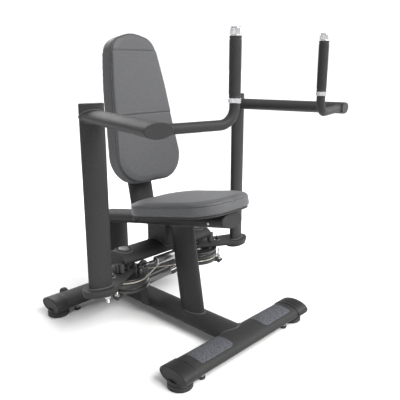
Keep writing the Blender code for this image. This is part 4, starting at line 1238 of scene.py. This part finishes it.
def buildLever(side):
    body = "arm_" + side
    at = jointAt[body]
    low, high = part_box("lever_plate_" + side)
    a = armSize
    outline = wrapped(flangeOutline(side, a["margin"]) + ringAt(at, a["lever"], 72))
    plate = Shape()
    plate.slab(evened(outline, 220), high.z - 0.014, high.z, edge=0.0018, steps=4)
    collar = wrapped(flangeOutline(side, a["margin"] - 0.004))
    plate.slab(evened(collar, 160), low.z, high.z - 0.0138, edge=0.0016, steps=4)
    plate.piece("leverPlate_" + side, armCoatPaintedLighter, body, "frame_paint", ("lever_plate_" + side,))

    # disc with its two cable grooves
    r, top, bottom = disc["radius"], disc["top"], disc["bottom"]
    groove = []
    for z in (cable["upper"], cable["lower"]):
        groove += [(r - 0.0006, z + 0.0056), (r - 0.0016, z + 0.0050), (r - 0.0070, z + 0.0034),
                   (r - 0.0080, z + 0.0018), (r - 0.0080, z - 0.0018), (r - 0.0070, z - 0.0034),
                   (r - 0.0016, z - 0.0050), (r - 0.0006, z - 0.0056)]
    profile = [(0.0155, high.z - 0.0146), (a["lever"] - 0.002, high.z - 0.0146), (a["lever"], top + 0.0010),
               (a["lever"] + 0.0010, top), (r - 0.0012, top), (r, top - 0.0012)]
    profile += groove + [(r, bottom + 0.0012), (r - 0.0012, bottom), (0.060, bottom),
                         (0.057, bottom + 0.003), (0.034, bottom + 0.003), (0.031, bottom),
                         (0.0155, bottom)]
    plate = Shape()
    plate.turned(profile, Vector((at.x, at.y, 0)), steps=144)
    # the cylinder's pin stands on the left disc and hangs from the right one
    if side == "left":
        end = disc["pinTop"]
        pin = [(0, top - 0.004), (0.0128, top - 0.004), (0.0128, top + 0.0090), (0.0122, top + 0.0120),
               (0.0105, top + 0.0160), (0.0085, top + 0.0185), (0.0080, end), (0, end)]
    else:
        end = disc["pinFoot"]
        pin = [(0, bottom + 0.006), (0.008, bottom + 0.006), (0.008, end), (0, end)]
    plate.turned(pin, pinAt(side), steps=32)
    plate.piece("cableDisc_" + side, discPaint, body, "disc_paint", ("pulley_disc_" + side,))

    # nuts and washers on the lever and disc
    toPost = (postAt(side) - Vector((at.x, at.y, 0))).normalized()
    bolts = Shape()
    spot = Vector((at.x, at.y, high.z)) + toPost * disc["nutReach"]
    washer(bolts, spot - zAxis * 0.0004, zAxis, 0.0135, 0.004, 0.0018)
    nuts = Shape()
    acornNut(nuts, spot + zAxis * 0.0012, zAxis, 0.0108, 0.0185)
    for turn in disc["screws"]:
        t = math.radians(turn)
        x, y = at.x + disc["screwReach"] * math.cos(t), at.y + disc["screwReach"] * math.sin(t)
        washer(bolts, Vector((x, y, top - 0.0004)), zAxis, 0.0098, 0.003, 0.0014)
        capScrew(nuts, Vector((x, y, top + 0.0008)), zAxis, 0.0068, 0.0050)
    bolts.piece("leverWashers_" + side, zinc, body, "shaft_steel")
    nuts.piece("leverNuts_" + side, blackNut, body, "disc_paint")

    if side == "left":
        # bolt through the flange, its nut and end below
        under = Shape()
        spot = postAt(side) + Vector((0.004, -0.034, 0))
        spot.z = low.z
        hexNut(under, spot - zAxis * 0.0040, zAxis, 0.0120, 0.0080)
        threadedBar(under, spot, low.z - 0.0240, low.z - 0.0006, 0.0062)
        under.piece("flangeBolt", zinc, body, "shaft_steel")

    # tab under the disc with the upright cable stud
    stud = studAt(side)
    tab = Shape()
    tabTop = bottom - 0.0003
    tabFoot = tabTop - 0.008
    outline = wrapped(ringAt(at, 0.030, 64) + ringAt(stud, 0.016, 48))
    tab.slab(evened(outline, 140), tabFoot, tabTop, edge=0.0010)
    tab.piece("cableTab_" + side, armCoatPaintedLighter, body, "frame_paint", ("cable_tab_" + side,))
    screw = Shape()
    core = studs["radius"]
    threadedBar(screw, stud, tabFoot - 0.006, studs["top"], core)
    washer(screw, Vector((stud.x, stud.y, tabFoot - 0.0016)), zAxis, 0.0115, core, 0.0016)
    washer(screw, Vector((stud.x, stud.y, tabTop)), zAxis, 0.0105, core, 0.0014)
    hexNut(screw, Vector((stud.x, stud.y, tabTop + 0.0044)), zAxis, 0.0098, 0.0060)
    screw.piece("cableStud_" + side, zinc, body, "shaft_steel")
    dome = Shape()
    acornNut(dome, Vector((stud.x, stud.y, tabFoot - 0.0016)), -zAxis, 0.0095, 0.0105)
    dome.piece("studNut_" + side, blackNut, body, "disc_paint")

    # shaft, with the collar that closes it below the tab
    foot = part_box("pivot_shaft_" + side)[0].z
    middle = Vector((at.x, at.y, 0))
    shaft = Shape()
    shaft.turned([(0, foot), (0.0140, foot), (0.0150, foot + 0.001), (0.0150, disc["shaftTop"]),
                  (0, disc["shaftTop"])], middle, steps=48)
    shaft.turned([(0.0150, foot + 0.0008), (0.0195, foot + 0.0008), (0.0200, foot + 0.0014),
                  (0.0200, foot + 0.0030), (0.0195, foot + 0.0036), (0.0150, foot + 0.0036)],
                 middle, steps=48)
    shaft.piece("pivotShaft_" + side, steel, body, "shaft_steel", ("pivot_shaft_" + side,))


def threadedBar(shape, at, low, high, radius, pitch=0.00125):
    # ridged bar; fine enough to read as a screw thread
    profile = [(0, low)]
    z = low
    while z < high - pitch:
        profile += [(radius - 0.0004, z), (radius, z + pitch * 0.35), (radius, z + pitch * 0.55)]
        z += pitch
    profile += [(radius - 0.0004, high), (0, high)]
    shape.turned(profile, Vector((at.x, at.y, 0)), steps=24)


studs = {"reach": 0.107, "left": math.radians(35), "right": math.radians(51), "radius": 0.0052,
         "top": 0.2400}
pins = {"reach": 0.066, "left": math.radians(-60), "right": math.radians(75)}


def studAt(side):
    at = jointAt["arm_" + side]
    t = studs[side]
    return Vector((at.x + signOf[side] * math.cos(t) * studs["reach"],
                   at.y - math.sin(t) * studs["reach"]))


def pinAt(side):
    at = jointAt["arm_" + side]
    t = pins[side]
    return Vector((at.x + math.cos(t) * pins["reach"], at.y + math.sin(t) * pins["reach"], 0))


# crossed cables: a fixed stretch between the discs and a turning lead on each disc
# angles are round the disc on the left; the right disc has them mirrored
cable = {"radius": 0.0025, "wrap": 0.0925, "upper": 0.2356, "lower": 0.2106, "step": 0.004,
         "nearEnd": math.radians(-103), "farEnd": math.radians(101), "lead": math.radians(86),
         "clamp": math.radians(60), "tail": math.radians(134), "clampReach": 0.1010}


def onDisc(side, angle, z, radius=None):
    at = jointAt["arm_" + side]
    r = radius or cable["wrap"]
    return Vector((at.x + math.cos(angle) * r, at.y + math.sin(angle) * r, z))


def arc(side, start, end, z, steps=40):
    return [onDisc(side, start + (end - start) * n / steps, z) for n in range(steps + 1)]


def buildCables():
    lean = math.asin(cable["wrap"] / abs(jointAt["arm_left"].x))
    for level, near, far in (("upper", "left", "right"), ("lower", "right", "left")):
        z = cable[level]
        flip = (lambda t: t) if near == "left" else (lambda t: math.pi - t)
        leave = lean - math.pi / 2
        run = arc(near, flip(cable["nearEnd"]), flip(leave), z)
        run += arc(far, flip(leave + math.pi), flip(cable["farEnd"]), z)
        shape = Shape()
        shape.swept(densed(run, cable["step"]), cable["radius"], 14)
        shape.piece("syncCable_" + level, rope, "frame", "cable_coat", ("sync_cable_" + level,))
        # lead from the stud into the groove, long enough for the whole swing
        stud = studAt(near)
        at = jointAt["arm_" + near]
        begin = math.atan2(stud.y - at.y, stud.x - at.x)
        turn = 1 if near == "left" else -1
        lead = [Vector((stud.x, stud.y, z)), onDisc(near, begin + turn * 0.10, z, 0.0975)]
        lead += arc(near, begin + turn * 0.22, begin + turn * cable["lead"], z, 60)
        rides = Shape()
        rides.swept(densed(lead, cable["step"]), cable["radius"], 14)
        rides.piece("cableLead_" + level, rope, "arm_" + near, "cable_coat")
        eye = Shape()
        eye.turned([(0.0054, -0.0045), (0.0088, -0.0045), (0.0096, -0.0030), (0.0096, 0.0030),
                    (0.0088, 0.0045), (0.0054, 0.0045)], Vector((stud.x, stud.y, z)), steps=40)
        sleeveEnd = onDisc(near, begin + turn * 0.16, z, 0.0950)
        eye.swept([Vector((stud.x, stud.y, z)).lerp(sleeveEnd, 0.35), sleeveEnd], 0.0042, 20)
        eye.piece("cableEye_" + level, satin, "arm_" + near, "shaft_steel")
        # clamp behind the far disc, with its own short lead
        clampTurn = flip(cable["clamp"])
        back = arc(far, clampTurn, flip(cable["tail"]), z, 40)
        tail = Shape()
        tail.swept(densed(back, cable["step"]), cable["radius"], 14)
        tail.piece("cableTail_" + level, rope, "arm_" + far, "cable_coat")
        holder = Shape()
        atClamp = onDisc(far, clampTurn, z, cable["clampReach"])
        out = (atClamp - Vector((jointAt["arm_" + far].x, jointAt["arm_" + far].y, z))).normalized()
        place = axesAt(atClamp, out, zAxis.cross(out))
        holder.block((-0.0110, -0.0060, -0.0036), (0.0110, 0.0060, 0.0036), place, 0.0009)
        for shift in (-0.0055, 0.0055):
            capScrew(holder, place @ Vector((shift, 0, 0.0035)), out, 0.0034, 0.0026)
        holder.piece("cableClamp_" + level, zinc, "arm_" + far, "shaft_steel")


def densed(path, step):
    made = [path[0]]
    for n in range(1, len(path)):
        gap = (path[n] - path[n - 1]).length
        count = max(1, int(gap / step))
        made += [path[n - 1].lerp(path[n], k / count) for k in range(1, count + 1)]
    return made


# hydraulic cylinders
cylinder = {"radius": 0.0175, "rod": 0.0060, "length": 0.165, "eye": 0.014, "eyeThick": 0.012}
rams = {
    "upper": {"anchor": jointAt["upper_barrel"], "side": "left", "nut": 1, "inside": 0.085,
              "finish": satin},
    # the lower barrel's finish is the satin aluminium painted darker: painted shade
    "lower": {"anchor": jointAt["lower_barrel"], "side": "right", "nut": -1, "inside": 0.062,
              "finish": satinPaintedDarker},
}


def lineProfile(shape, start, along, stations, steps=56):
    shape.turned([(r, d) for d, r in stations], start, along, steps)


def buildRam(level):
    ram = rams[level]
    anchor = ram["anchor"]
    pin = pinAt(ram["side"])
    pin.z = anchor.z
    along = (pin - anchor).normalized()
    c = cylinder
    r = c["radius"]
    start = anchor + along * (c["eye"] - 0.002)
    mouth = c["length"]
    tube = Shape()
    outside = [(0.000, 0.0), (0.000, 0.0062), (0.004, 0.0085), (0.008, 0.0120), (0.0095, r - 0.0008),
               (0.0105, r), (0.0200, r), (0.0206, r - 0.0007), (0.0222, r - 0.0007), (0.0228, r),
               (mouth - 0.0260, r), (mouth - 0.0254, r - 0.0009), (mouth - 0.0238, r - 0.0009),
               (mouth - 0.0232, r - 0.0001), (mouth - 0.0030, r - 0.0001), (mouth - 0.0004, r - 0.0026),
               (mouth, 0.0110), (mouth - 0.0004, 0.0100), (mouth - 0.0016, 0.0088),
               (mouth - 0.0016, c["rod"] + 0.0007), (mouth - 0.020, c["rod"] + 0.0007),
               (mouth - 0.020, 0.0)]
    lineProfile(tube, start, along, outside, 72)
    lift = c["eyeThick"] / 2
    ringEye(tube, anchor, c["eye"], 0.0083, lift)
    tube.piece("ramBarrel_" + level, ram["finish"], level + "_barrel", "cylinder_body",
               ("cylinder_barrel_" + level,))
    # wiper at the mouth
    wiper = Shape()
    lineProfile(wiper, start, along, [(mouth - 0.0050, 0.0086), (mouth - 0.0006, 0.0086),
                                      (mouth + 0.0004, 0.0078), (mouth + 0.0004, c["rod"] + 0.0007),
                                      (mouth - 0.0050, c["rod"] + 0.0007)])
    wiper.piece("ramWiper_" + level, rubber, level + "_barrel", "wheel_rubber")
    stem = Shape()
    rodStart = start + along * (mouth - ram["inside"])
    reach = (pin - rodStart).length - c["eye"] + 0.002
    lineProfile(stem, rodStart, along, [(0.0, 0.0), (0.0, c["rod"] - 0.0008), (0.0010, c["rod"]),
                                        (reach - 0.016, c["rod"]), (reach - 0.0155, c["rod"] + 0.0022),
                                        (reach - 0.003, c["rod"] + 0.0022), (reach, c["rod"] + 0.0010),
                                        (reach + 0.001, 0.0)])
    stem.piece("ramRod_" + level, rodChrome, level + "_rod", "polished_rod",
               ("cylinder_rod_" + level,))
    eye = Shape()
    ringEye(eye, pin, c["eye"], 0.0, lift)
    lineProfile(eye, rodStart, along, [(reach - 0.0150, 0.0), (reach - 0.0150, 0.0084),
                                       (reach - 0.0140, 0.0092), (reach - 0.0010, 0.0092),
                                       (reach + 0.0020, 0.0070), (reach + 0.0020, 0.0)])
    eye.piece("ramEye_" + level, blackNut, level + "_rod", "disc_paint")
    nut = Shape()
    way = zAxis * ram["nut"]
    washer(nut, pin + way * lift, way, 0.0120, 0.004, 0.0015)
    acornNut(nut, pin + way * (lift + 0.0014), way, 0.0095, 0.0098)
    nut.piece("ramNut_" + level, blackNut, level + "_rod", "disc_paint")


def ringEye(shape, at, radius, bore, lift):
    soft = 0.0012
    profile = [(bore, lift), (radius - soft, lift), (radius - 0.0003, lift - 0.0005),
               (radius, lift - soft), (radius, soft - lift), (radius - 0.0003, 0.0005 - lift),
               (radius - soft, -lift), (bore, -lift)]
    shape.turned(profile, at, zAxis, 56)


anchors = {"half": 0.018, "gap": 0.0003, "thick": 0.006, "webDeep": 0.040, "footX": -0.045,
           "footZ": beamZ + 0.002}


def buildAnchors():
    # tongues that hold the barrels' eyes
    anchor = jointAt["upper_barrel"]
    low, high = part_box("cylinder_anchor_upper")
    thick = anchors["thick"]
    top = anchor.z - cylinder["eyeThick"] / 2 - anchors["gap"]
    shape = Shape()
    corners = [Vector((low.x, low.y)), Vector((high.x, low.y)), Vector((high.x, high.y)),
               Vector((low.x, high.y))]
    shape.slab(rounded(corners, [0.015, 0.015, 0.002, 0.002]), top - thick, top, edge=0.0008)
    web = [Vector((low.x, high.y - anchors["webDeep"])), Vector((high.x, high.y - anchors["webDeep"])),
           Vector((high.x, high.y)), Vector((low.x, high.y))]
    shape.slab(rounded(web, 0.003), top - 0.001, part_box("cross_beam")[0].z + 0.004, edge=0.0006)
    shape.turned([(0, -0.0125), (0.0070, -0.0125), (0.0078, -0.0117), (0.0078, 0.0112),
                  (0.0070, 0.0120), (0, 0.0120)], anchor, steps=36)
    shape.piece("ramAnchor_upper", coat, "frame", "frame_paint", ("cylinder_anchor_upper",))

    anchor = jointAt["lower_barrel"]
    low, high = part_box("cylinder_anchor_lower")
    top = anchor.z - cylinder["eyeThick"] / 2 - anchors["gap"]
    shape = Shape()
    webX = anchor.x + anchors["half"]
    # one bent strip: tongue, upright and foot on the beam's side
    footX, footLow, footHigh = anchors["footX"], anchors["footZ"], anchors["footZ"] + thick * 1.6
    bent = [(low.x, top), (low.x, top - thick), (webX - thick, top - thick), (webX - thick, footLow),
            (footX, footLow), (footX, footHigh), (webX, footHigh), (webX, top)]
    outline = rounded([Vector(p) for p in bent],
                      [0.0008, 0.0008, 0.0020, 0.0008, 0.0008, 0.0008, 0.0020, 0.0060], 4)
    shape.slab(outline, -high.y, -low.y, axesAt((0, 0, 0), -yAxis, xAxis), 0.0008)
    shape.turned([(0, -0.0105), (0.0070, -0.0105), (0.0078, -0.0097), (0.0078, 0.0112),
                  (0.0070, 0.0120), (0, 0.0120)], anchor, steps=36)
    shape.piece("ramAnchor_lower", coat, "frame", "frame_paint", ("cylinder_anchor_lower",))
    nuts = Shape()
    for ram in rams.values():
        hexNut(nuts, ram["anchor"] + zAxis * 0.0100, zAxis, 0.0105, 0.0060)
    nuts.piece("anchorNuts", zinc, "frame", "shaft_steel")


# padded seat and back, blown up by a cloth simulation and then sewn
def applied(made):
    # swaps an object's mesh for its evaluated one and drops the modifiers
    graph = bpy.context.evaluated_depsgraph_get()
    mesh = bpy.data.meshes.new_from_object(made.evaluated_get(graph))
    made.modifiers.clear()
    made.data = mesh
    return made


def stuffed(name, outline, pad):
    # outline in X and Y, the board at height 0, the face at the pad's thickness
    shape = Shape()
    slim = shrunk(outline, pad["slim"])
    low, high = 0.0, pad["thick"] - pad["lower"]
    rings = []
    for side, level, edge in ((1, low, pad["footEdge"]), (-1, high, pad["faceEdge"])):
        run = []
        for n in range(7):
            a = math.pi / 2 * n / 6
            inset = edge * (1 - math.sin(a))
            run.append([Vector((p.x, p.y, level + side * edge * (1 - math.cos(a))))
                        for p in shrunk(slim, inset)])
        rings += run if side == 1 else run[::-1]
    shape.rings(rings)
    mesh = bpy.data.meshes.new(name)
    mesh.from_pydata(shape.points, [], shape.faces)
    work = bmesh.new()
    work.from_mesh(mesh)
    bmesh.ops.recalc_face_normals(work, faces=work.faces)
    work.to_mesh(mesh)
    work.free()
    made = bpy.data.objects.new(name, mesh)
    bpy.context.scene.collection.objects.link(made)
    remesh = made.modifiers.new("even", "REMESH")
    remesh.mode = "VOXEL"
    remesh.voxel_size = pad["voxel"]
    remesh.use_smooth_shade = True
    applied(made)
    inflate(made, pad)
    made.modifiers.new("fine", "SUBSURF").levels = 1
    applied(made)
    return made


fabric = {"quality": 6, "mass": 0.4, "tension_stiffness": 18, "compression_stiffness": 18,
          "shear_stiffness": 8, "bending_stiffness": 1.2, "use_pressure": True}


def inflate(made, pad):
    scene = bpy.context.scene
    still = [v.co.copy() for v in made.data.vertices]
    group = made.vertex_groups.new(name="board")
    held = [n for n, p in enumerate(still) if p.z < pad["held"]]
    group.add(held, 1.0, "REPLACE")
    cloth = made.modifiers.new("cloth", "CLOTH")
    for name, value in fabric.items():
        setattr(cloth.settings, name, value)
    cloth.settings.uniform_pressure_force = pad["pressure"]
    cloth.settings.vertex_group_mass = "board"
    cloth.settings.effector_weights.gravity = 0
    cloth.collision_settings.use_collision = False
    cloth.point_cache.frame_start = 1
    cloth.point_cache.frame_end = pad["frames"]
    for n in range(1, pad["frames"] + 1):
        scene.frame_set(n)
    applied(made)
    made.vertex_groups.clear()
    # the cover is stretched over foam, so small folds are drawn out
    count = len(still)
    start = np.array([tuple(p) for p in still])
    after = np.empty(count * 3)
    made.data.vertices.foreach_get("co", after)
    move = after.reshape(-1, 3) - start
    edges = np.empty(len(made.data.edges) * 2, dtype=np.int32)
    made.data.edges.foreach_get("vertices", edges)
    a, b = edges[0::2], edges[1::2]
    links = (np.bincount(a, minlength=count) + np.bincount(b, minlength=count))[:, None]
    for n in range(pad["drawn"]):
        near = np.zeros_like(move)
        np.add.at(near, a, move[b])
        np.add.at(near, b, move[a])
        move = move * 0.3 + near / links * 0.7
    length = np.linalg.norm(move, axis=1)[:, None]
    move *= np.minimum(1, pad["cap"] / np.maximum(length, 1e-9))
    after = start + move
    after[:, 2] = np.maximum(after[:, 2], 0.0002)
    made.data.vertices.foreach_set("co", after.ravel())
    made.data.update()
    scene.frame_set(1)


def sewn(made, seams, depth, width):
    # each seam is a function that gives a point's distance from it, or a large number
    normals = [v.normal.copy() for v in made.data.vertices]
    for v, normal in zip(made.data.vertices, normals):
        pull = 0.0
        for seam in seams:
            d = seam(v.co, normal)
            if d < width * 3:
                pull = max(pull, math.exp(-(d / width) ** 2))
        v.co -= normal * depth * pull


def surfaceOf(made):
    return BVHTree.FromPolygons([v.co for v in made.data.vertices],
                                [p.vertices for p in made.data.polygons])


def stitches(shape, surface, path, length=0.0034, gap=0.0016, radius=0.00042, closed=True):
    # short threads laid along a run of points, dipped into the skin at both ends
    count = max(2, int(sum((path[n] - path[n - 1]).length for n in range(0 if closed else 1, len(path)))
                       / (length + gap)))
    run = evened(path, count) if closed else spaced(path, count)
    for n, p in enumerate(run[:None if closed else -1]):
        q = run[(n + 1) % len(run)]
        near, normal = surface.find_nearest(p)[:2]
        far, farNormal = surface.find_nearest(p.lerp(q, length / (length + gap)))[:2]
        middle = near.lerp(far, 0.5) + normal * radius * 1.1
        ends = [near - normal * radius * 0.8, near.lerp(middle, 0.5) + normal * radius * 0.55, middle,
                far.lerp(middle, 0.5) + farNormal * radius * 0.55, far - farNormal * radius * 0.8]
        shape.swept(ends, radius, 6)


def spaced(path, count):
    lengths = [0.0]
    for n in range(1, len(path)):
        lengths.append(lengths[-1] + (path[n] - path[n - 1]).length)
    made, n = [], 1
    for k in range(count + 1):
        want = lengths[-1] * k / count
        while n < len(path) - 1 and lengths[n] < want:
            n += 1
        share = (want - lengths[n - 1]) / (lengths[n] - lengths[n - 1])
        made.append(path[n - 1].lerp(path[n], share))
    return made


def onSkin(surface, points, lift=0.0):
    made = []
    for p in points:
        near, normal = surface.find_nearest(p)[:2]
        made.append(near + normal * lift)
    return made


def finishPad(made, finish, place, node):
    made.data.transform(place)
    made.data.materials.clear()
    made.data.materials.append(finish)
    made.data.shade_smooth()
    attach(made, "frame")
    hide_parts(node)


def ringFrom(outline, inset, height, count=360):
    return [Vector((p.x, p.y, height)) for p in evened(shrunk(outline, inset), count)]


seatPad = {
    "front": -0.329, "rear": 0.131, "frontHalf": 0.146, "rearHalf": 0.180, "corner": 0.105,
    "lift": 0.0375, "thick": 0.050, "board": 0.008,
    "slim": 0.0045, "lower": 0.0050, "faceEdge": 0.0100, "footEdge": 0.0070,
    "voxel": 0.0045, "held": 0.010, "pressure": 3.2, "frames": 20, "cap": 0.0065, "drawn": 60,
    "boltX": (-0.088, 0.088), "boltY": (-0.190, 0.020), "boardInset": 0.012,
    "seam": 0.0105, "seamGap": 0.0055,     # upper seam below the face; lower one below that
}


def seatPlace():
    s = seatFrameSize
    up = Vector((0, math.sin(s["tilt"]), math.cos(s["tilt"])))
    return axesAt(Vector((0, 0, s["height"])) + up * seatPad["lift"], up, xAxis)


def buildSeat():
    p = seatPad
    corners = [Vector((-p["frontHalf"], p["front"])), Vector((p["frontHalf"], p["front"])),
               Vector((p["rearHalf"], p["rear"])), Vector((-p["rearHalf"], p["rear"]))]
    outline = evened(rounded(corners, p["corner"], 24), 240)
    place = seatPlace()
    made = stuffed("seatPad", outline, p)
    seamHeights = (p["thick"] - p["seam"], p["thick"] - p["seam"] - p["seamGap"])

    def sideSeam(height):
        return lambda point, normal: abs(point.z - height) if abs(normal.z) < 0.75 else 1.0

    sewn(made, [sideSeam(h) for h in seamHeights], 0.0011, 0.0017)
    surface = surfaceOf(made)
    threads = Shape()
    for h in seamHeights:
        run = onSkin(surface, ringFrom(outline, 0.0, h - 0.0006))
        stitches(threads, surface, run)
    # welt between the face and the side
    darkCords = Shape()
    middle = (seamHeights[0] + seamHeights[1]) / 2
    run = onSkin(surface, ringFrom(outline, -0.001, middle), -0.0004)
    darkCords.swept(run, 0.0012, 10, closed=True)
    for shape in (threads, darkCords):
        shape.points = [tuple(place @ Vector(q)) for q in shape.points]
    threads.piece("seatStitches", thread, "frame", "seat_leather")
    darkCords.piece("seatWelt", pipingAndSeamShade, "frame", "seat_leather")
    finishPad(made, seatSkinPaintedLighter, place, "seat_pad")
    boardShape = Shape()
    boardShape.slab(shrunk(outline, p["boardInset"]), -p["board"], -0.0002, place, 0.0015)
    boardShape.piece("seatBoard", ply, "frame", "board", ("seat_board",))
    # four bolts under the board
    bolts = Shape()
    down = (place.to_3x3() @ -zAxis).normalized()
    for x in p["boltX"]:
        for y in p["boltY"]:
            boltHead(bolts, place @ Vector((x, y, -p["board"])), down, 0.0080, 0.0052, 0.0110)
    bolts.piece("seatBolts", zinc, "frame", "shaft_steel")


backPad = {
    "footHalf": 0.184, "ribHalf": 0.1445, "ribHeight": 0.400, "headHalf": 0.113, "headHeight": 0.578,
    "crown": 0.610, "footCorner": 0.115, "ribCorner": 1.5, "headCorner": 0.075, "crownCorner": 0.150,
    "thick": 0.064, "board": 0.010, "lean": math.radians(11.3),
    "footY": 0.113, "footZ": 0.575,
    "slim": 0.0040, "lower": 0.0040, "faceEdge": 0.0085, "footEdge": 0.0080,
    "voxel": 0.0045, "held": 0.010, "pressure": 3.0, "frames": 20, "cap": 0.0055, "drawn": 60,
    "seam": 0.0065, "headSeam": 0.531, "lumbarSeam": 0.279, "cover": 0.0020,
    "boardInset": 0.014, "stapleInset": 0.026, "staples": 64, "postFoot": -0.16, "postHead": 0.440,
    "boltHeights": (0.110, 0.380),
}


def backPlace(depth):
    p = backPad
    rear = Vector((0, math.cos(p["lean"]), -math.sin(p["lean"])))
    return axesAt(Vector((0, p["footY"], p["footZ"])) + rear * depth, -rear, xAxis)


def buildBack(beads):
    p = backPad
    right = [(p["footHalf"], 0, p["footCorner"]), (p["ribHalf"], p["ribHeight"], p["ribCorner"]),
             (p["headHalf"], p["headHeight"], p["headCorner"])]
    turns = right + [(0, p["crown"], p["crownCorner"])] + [(-x, y, r) for x, y, r in reversed(right)]
    corners = [Vector((x, y)) for x, y, r in turns]
    radii = [r for x, y, r in turns]
    outline = evened(rounded(corners, radii, 24), 280)
    place = backPlace(p["thick"])
    made = stuffed("backPad", outline, p)
    face = p["thick"]

    def across(height):
        return lambda point, normal: abs(point.y - height) if normal.z > -0.3 else 1.0

    def side(point, normal):
        return abs(point.z - (face - p["seam"])) if abs(normal.z) < 0.8 else 1.0

    # the slip cover round the middle stands a little proud of the head and hip
    for v, normal in [(v, v.normal.copy()) for v in made.data.vertices]:
        inside = min(v.co.y - p["lumbarSeam"], p["headSeam"] - v.co.y)
        v.co += normal * p["cover"] * min(1, max(0, inside / 0.002))
    sewn(made, [across(p["headSeam"]), across(p["lumbarSeam"]), side], 0.0022, 0.0021)
    surface = surfaceOf(made)
    threads = Shape()
    for seam, shifts in ((p["headSeam"], (-0.0045, -0.0085)), (p["lumbarSeam"], (0.0045, 0.0085))):
        for shift in shifts:
            run = crossRun(surface, seam + shift, face)
            stitches(threads, surface, run, closed=False)
    darkCords = Shape()
    run = onSkin(surface, ringFrom(outline, -0.001, face - p["seam"]), -0.0002)
    darkCords.swept(run, 0.0016, 10, closed=True)
    # dark cords across the face where the slip cover ends: painted shade in the sunk seams under the
    # cover's edge
    for seam, sunk, radius in ((p["lumbarSeam"], -0.0002, 0.0011), (p["headSeam"], -0.0004, 0.0008)):
        darkCords.swept(onSkin(surface, crossRun(surface, seam, face), sunk), radius, 8)
    for shape in (threads, darkCords):
        shape.points = [tuple(place @ Vector(q)) for q in shape.points]
    threads.piece("backStitches", thread, "frame", "back_leather")
    darkCords.piece("backWeltAndSeamShade", pipingAndSeamShade, "frame", "back_leather")
    finishPad(made, backSkinPaintedDarker, place, "back_pad")

    # board behind the pad, with a row of staples round it
    boardPlace = backPlace(p["thick"] + 0.0004)
    boardShape = Shape()
    inner = shrunk(outline, p["boardInset"])
    boardShape.slab(inner, -p["board"] + 0.0002, 0, boardPlace, 0.0030, 5)
    boardShape.piece("backBoard", ply, "frame", "board", ("back_board",))
    staples = Shape()
    spots = evened(shrunk(outline, p["stapleInset"]), p["staples"])
    for n, q in enumerate(spots):
        ahead = (spots[(n + 1) % len(spots)] - q).normalized()
        a, b = q - ahead * 0.005, q + ahead * 0.005
        z = -p["board"] - 0.0001
        staples.swept([boardPlace @ Vector((a.x, a.y, z)), boardPlace @ Vector((b.x, b.y, z))], 0.0005, 6)
    staples.piece("backStaples", zinc, "frame", "shaft_steel")

    depth = p["thick"] + p["board"] + 0.0006 + base["thin"]
    postPlace = backPlace(depth)
    post = OvalTube(postPlace @ Vector((0, p["postFoot"], 0)), postPlace @ Vector((0, p["postHead"], 0)),
                    xAxis, base["wide"], base["thin"])
    seatTube = tubes["seatTube"]
    shape = Shape()
    shape.oval(post.start, post.end, xAxis, base["wide"], base["thin"], edge=0.0010)
    shape.piece("backPost", coat, "frame", "frame_paint", ("back_post",))
    lid = Shape()
    lid.oval(post.end - post.along * 0.006, post.end - post.along * 0.0002, xAxis, base["wide"] - 0.0035,
             base["thin"] - 0.0035, edge=0.0008)
    lid.piece("backPostPlug", tubePlastic, "frame", "tube_cap")
    down = OvalTube(post.end, post.start, xAxis, base["wide"], base["thin"])
    weldBead(beads, landing(down, seatTube), seed=12)
    bolts = Shape()
    rear = (postPlace.to_3x3() @ -zAxis).normalized()
    for height in p["boltHeights"]:
        boltHead(bolts, postPlace @ Vector((0, height, -base["thin"])), rear, 0.0105, 0.0070, 0.0150)
    bolts.piece("backBolts", zinc, "frame", "shaft_steel")


def crossRun(surface, height, face):
    # points right across the pad's face at one height, down both sides
    made = []
    for n in range(121):
        x = -0.22 + 0.44 * n / 120
        hit = surface.ray_cast(Vector((x, height, face + 0.1)), -zAxis)[0]
        if hit and hit.z > face * 0.35:
            made.append(hit)
    return made


# one small screw on each flank of the seat tube, near its front
def buildFixings():
    s = seatFrameSize
    bolts = Shape()
    at = seatLine(s["screwY"]) - zAxis * 0.004
    for sign in (-1, 1):
        capScrew(bolts, at + xAxis * sign * (s["wide"] - 0.0010), xAxis * sign, 0.0050, 0.0030)
    bolts.piece("seatTubeScrews", zinc, "frame", "shaft_steel")


addCamera()
addLights()
paintSky()
ground = Shape()
half = floorShade["half"]
ground.points = [(-half, -half, 0), (half, -half, 0), (half, half, 0), (-half, half, 0)]
ground.faces = [(0, 1, 2, 3)]
floorMesh = bpy.data.meshes.new("studioFloor")
floorMesh.from_pydata(ground.points, [], ground.faces)
studioFloor = bpy.data.objects.new("studioFloor", floorMesh)
bpy.context.scene.collection.objects.link(studioFloor)
floorFinish = Finish("studio floor")
mottle = floorFinish.cloud(3, 3)
floorMesh.materials.append(floorFinish.done(
    Base_Color=floorFinish.mix(mottle, floorShade["low"], floorShade["high"]),
    Roughness=floorShade["rough"]))
print("studio ready")

beads = buildBase()
for side in signOf:
    transportWheel(side)
    wheelBracket(side)
print("base ready")
buildUprights(beads)
buildCross(beads)
print("uprights ready")
for side in signOf:
    buildArm(side)
print("arms ready")
buildCables()
for level in rams:
    buildRam(level)
buildAnchors()
print("cables and cylinders ready")
buildSeat()
buildBack(beads)
print("pads ready")
buildFixings()
beads.piece("frameWelds", weldCoatHighlight, "frame", "frame_paint")
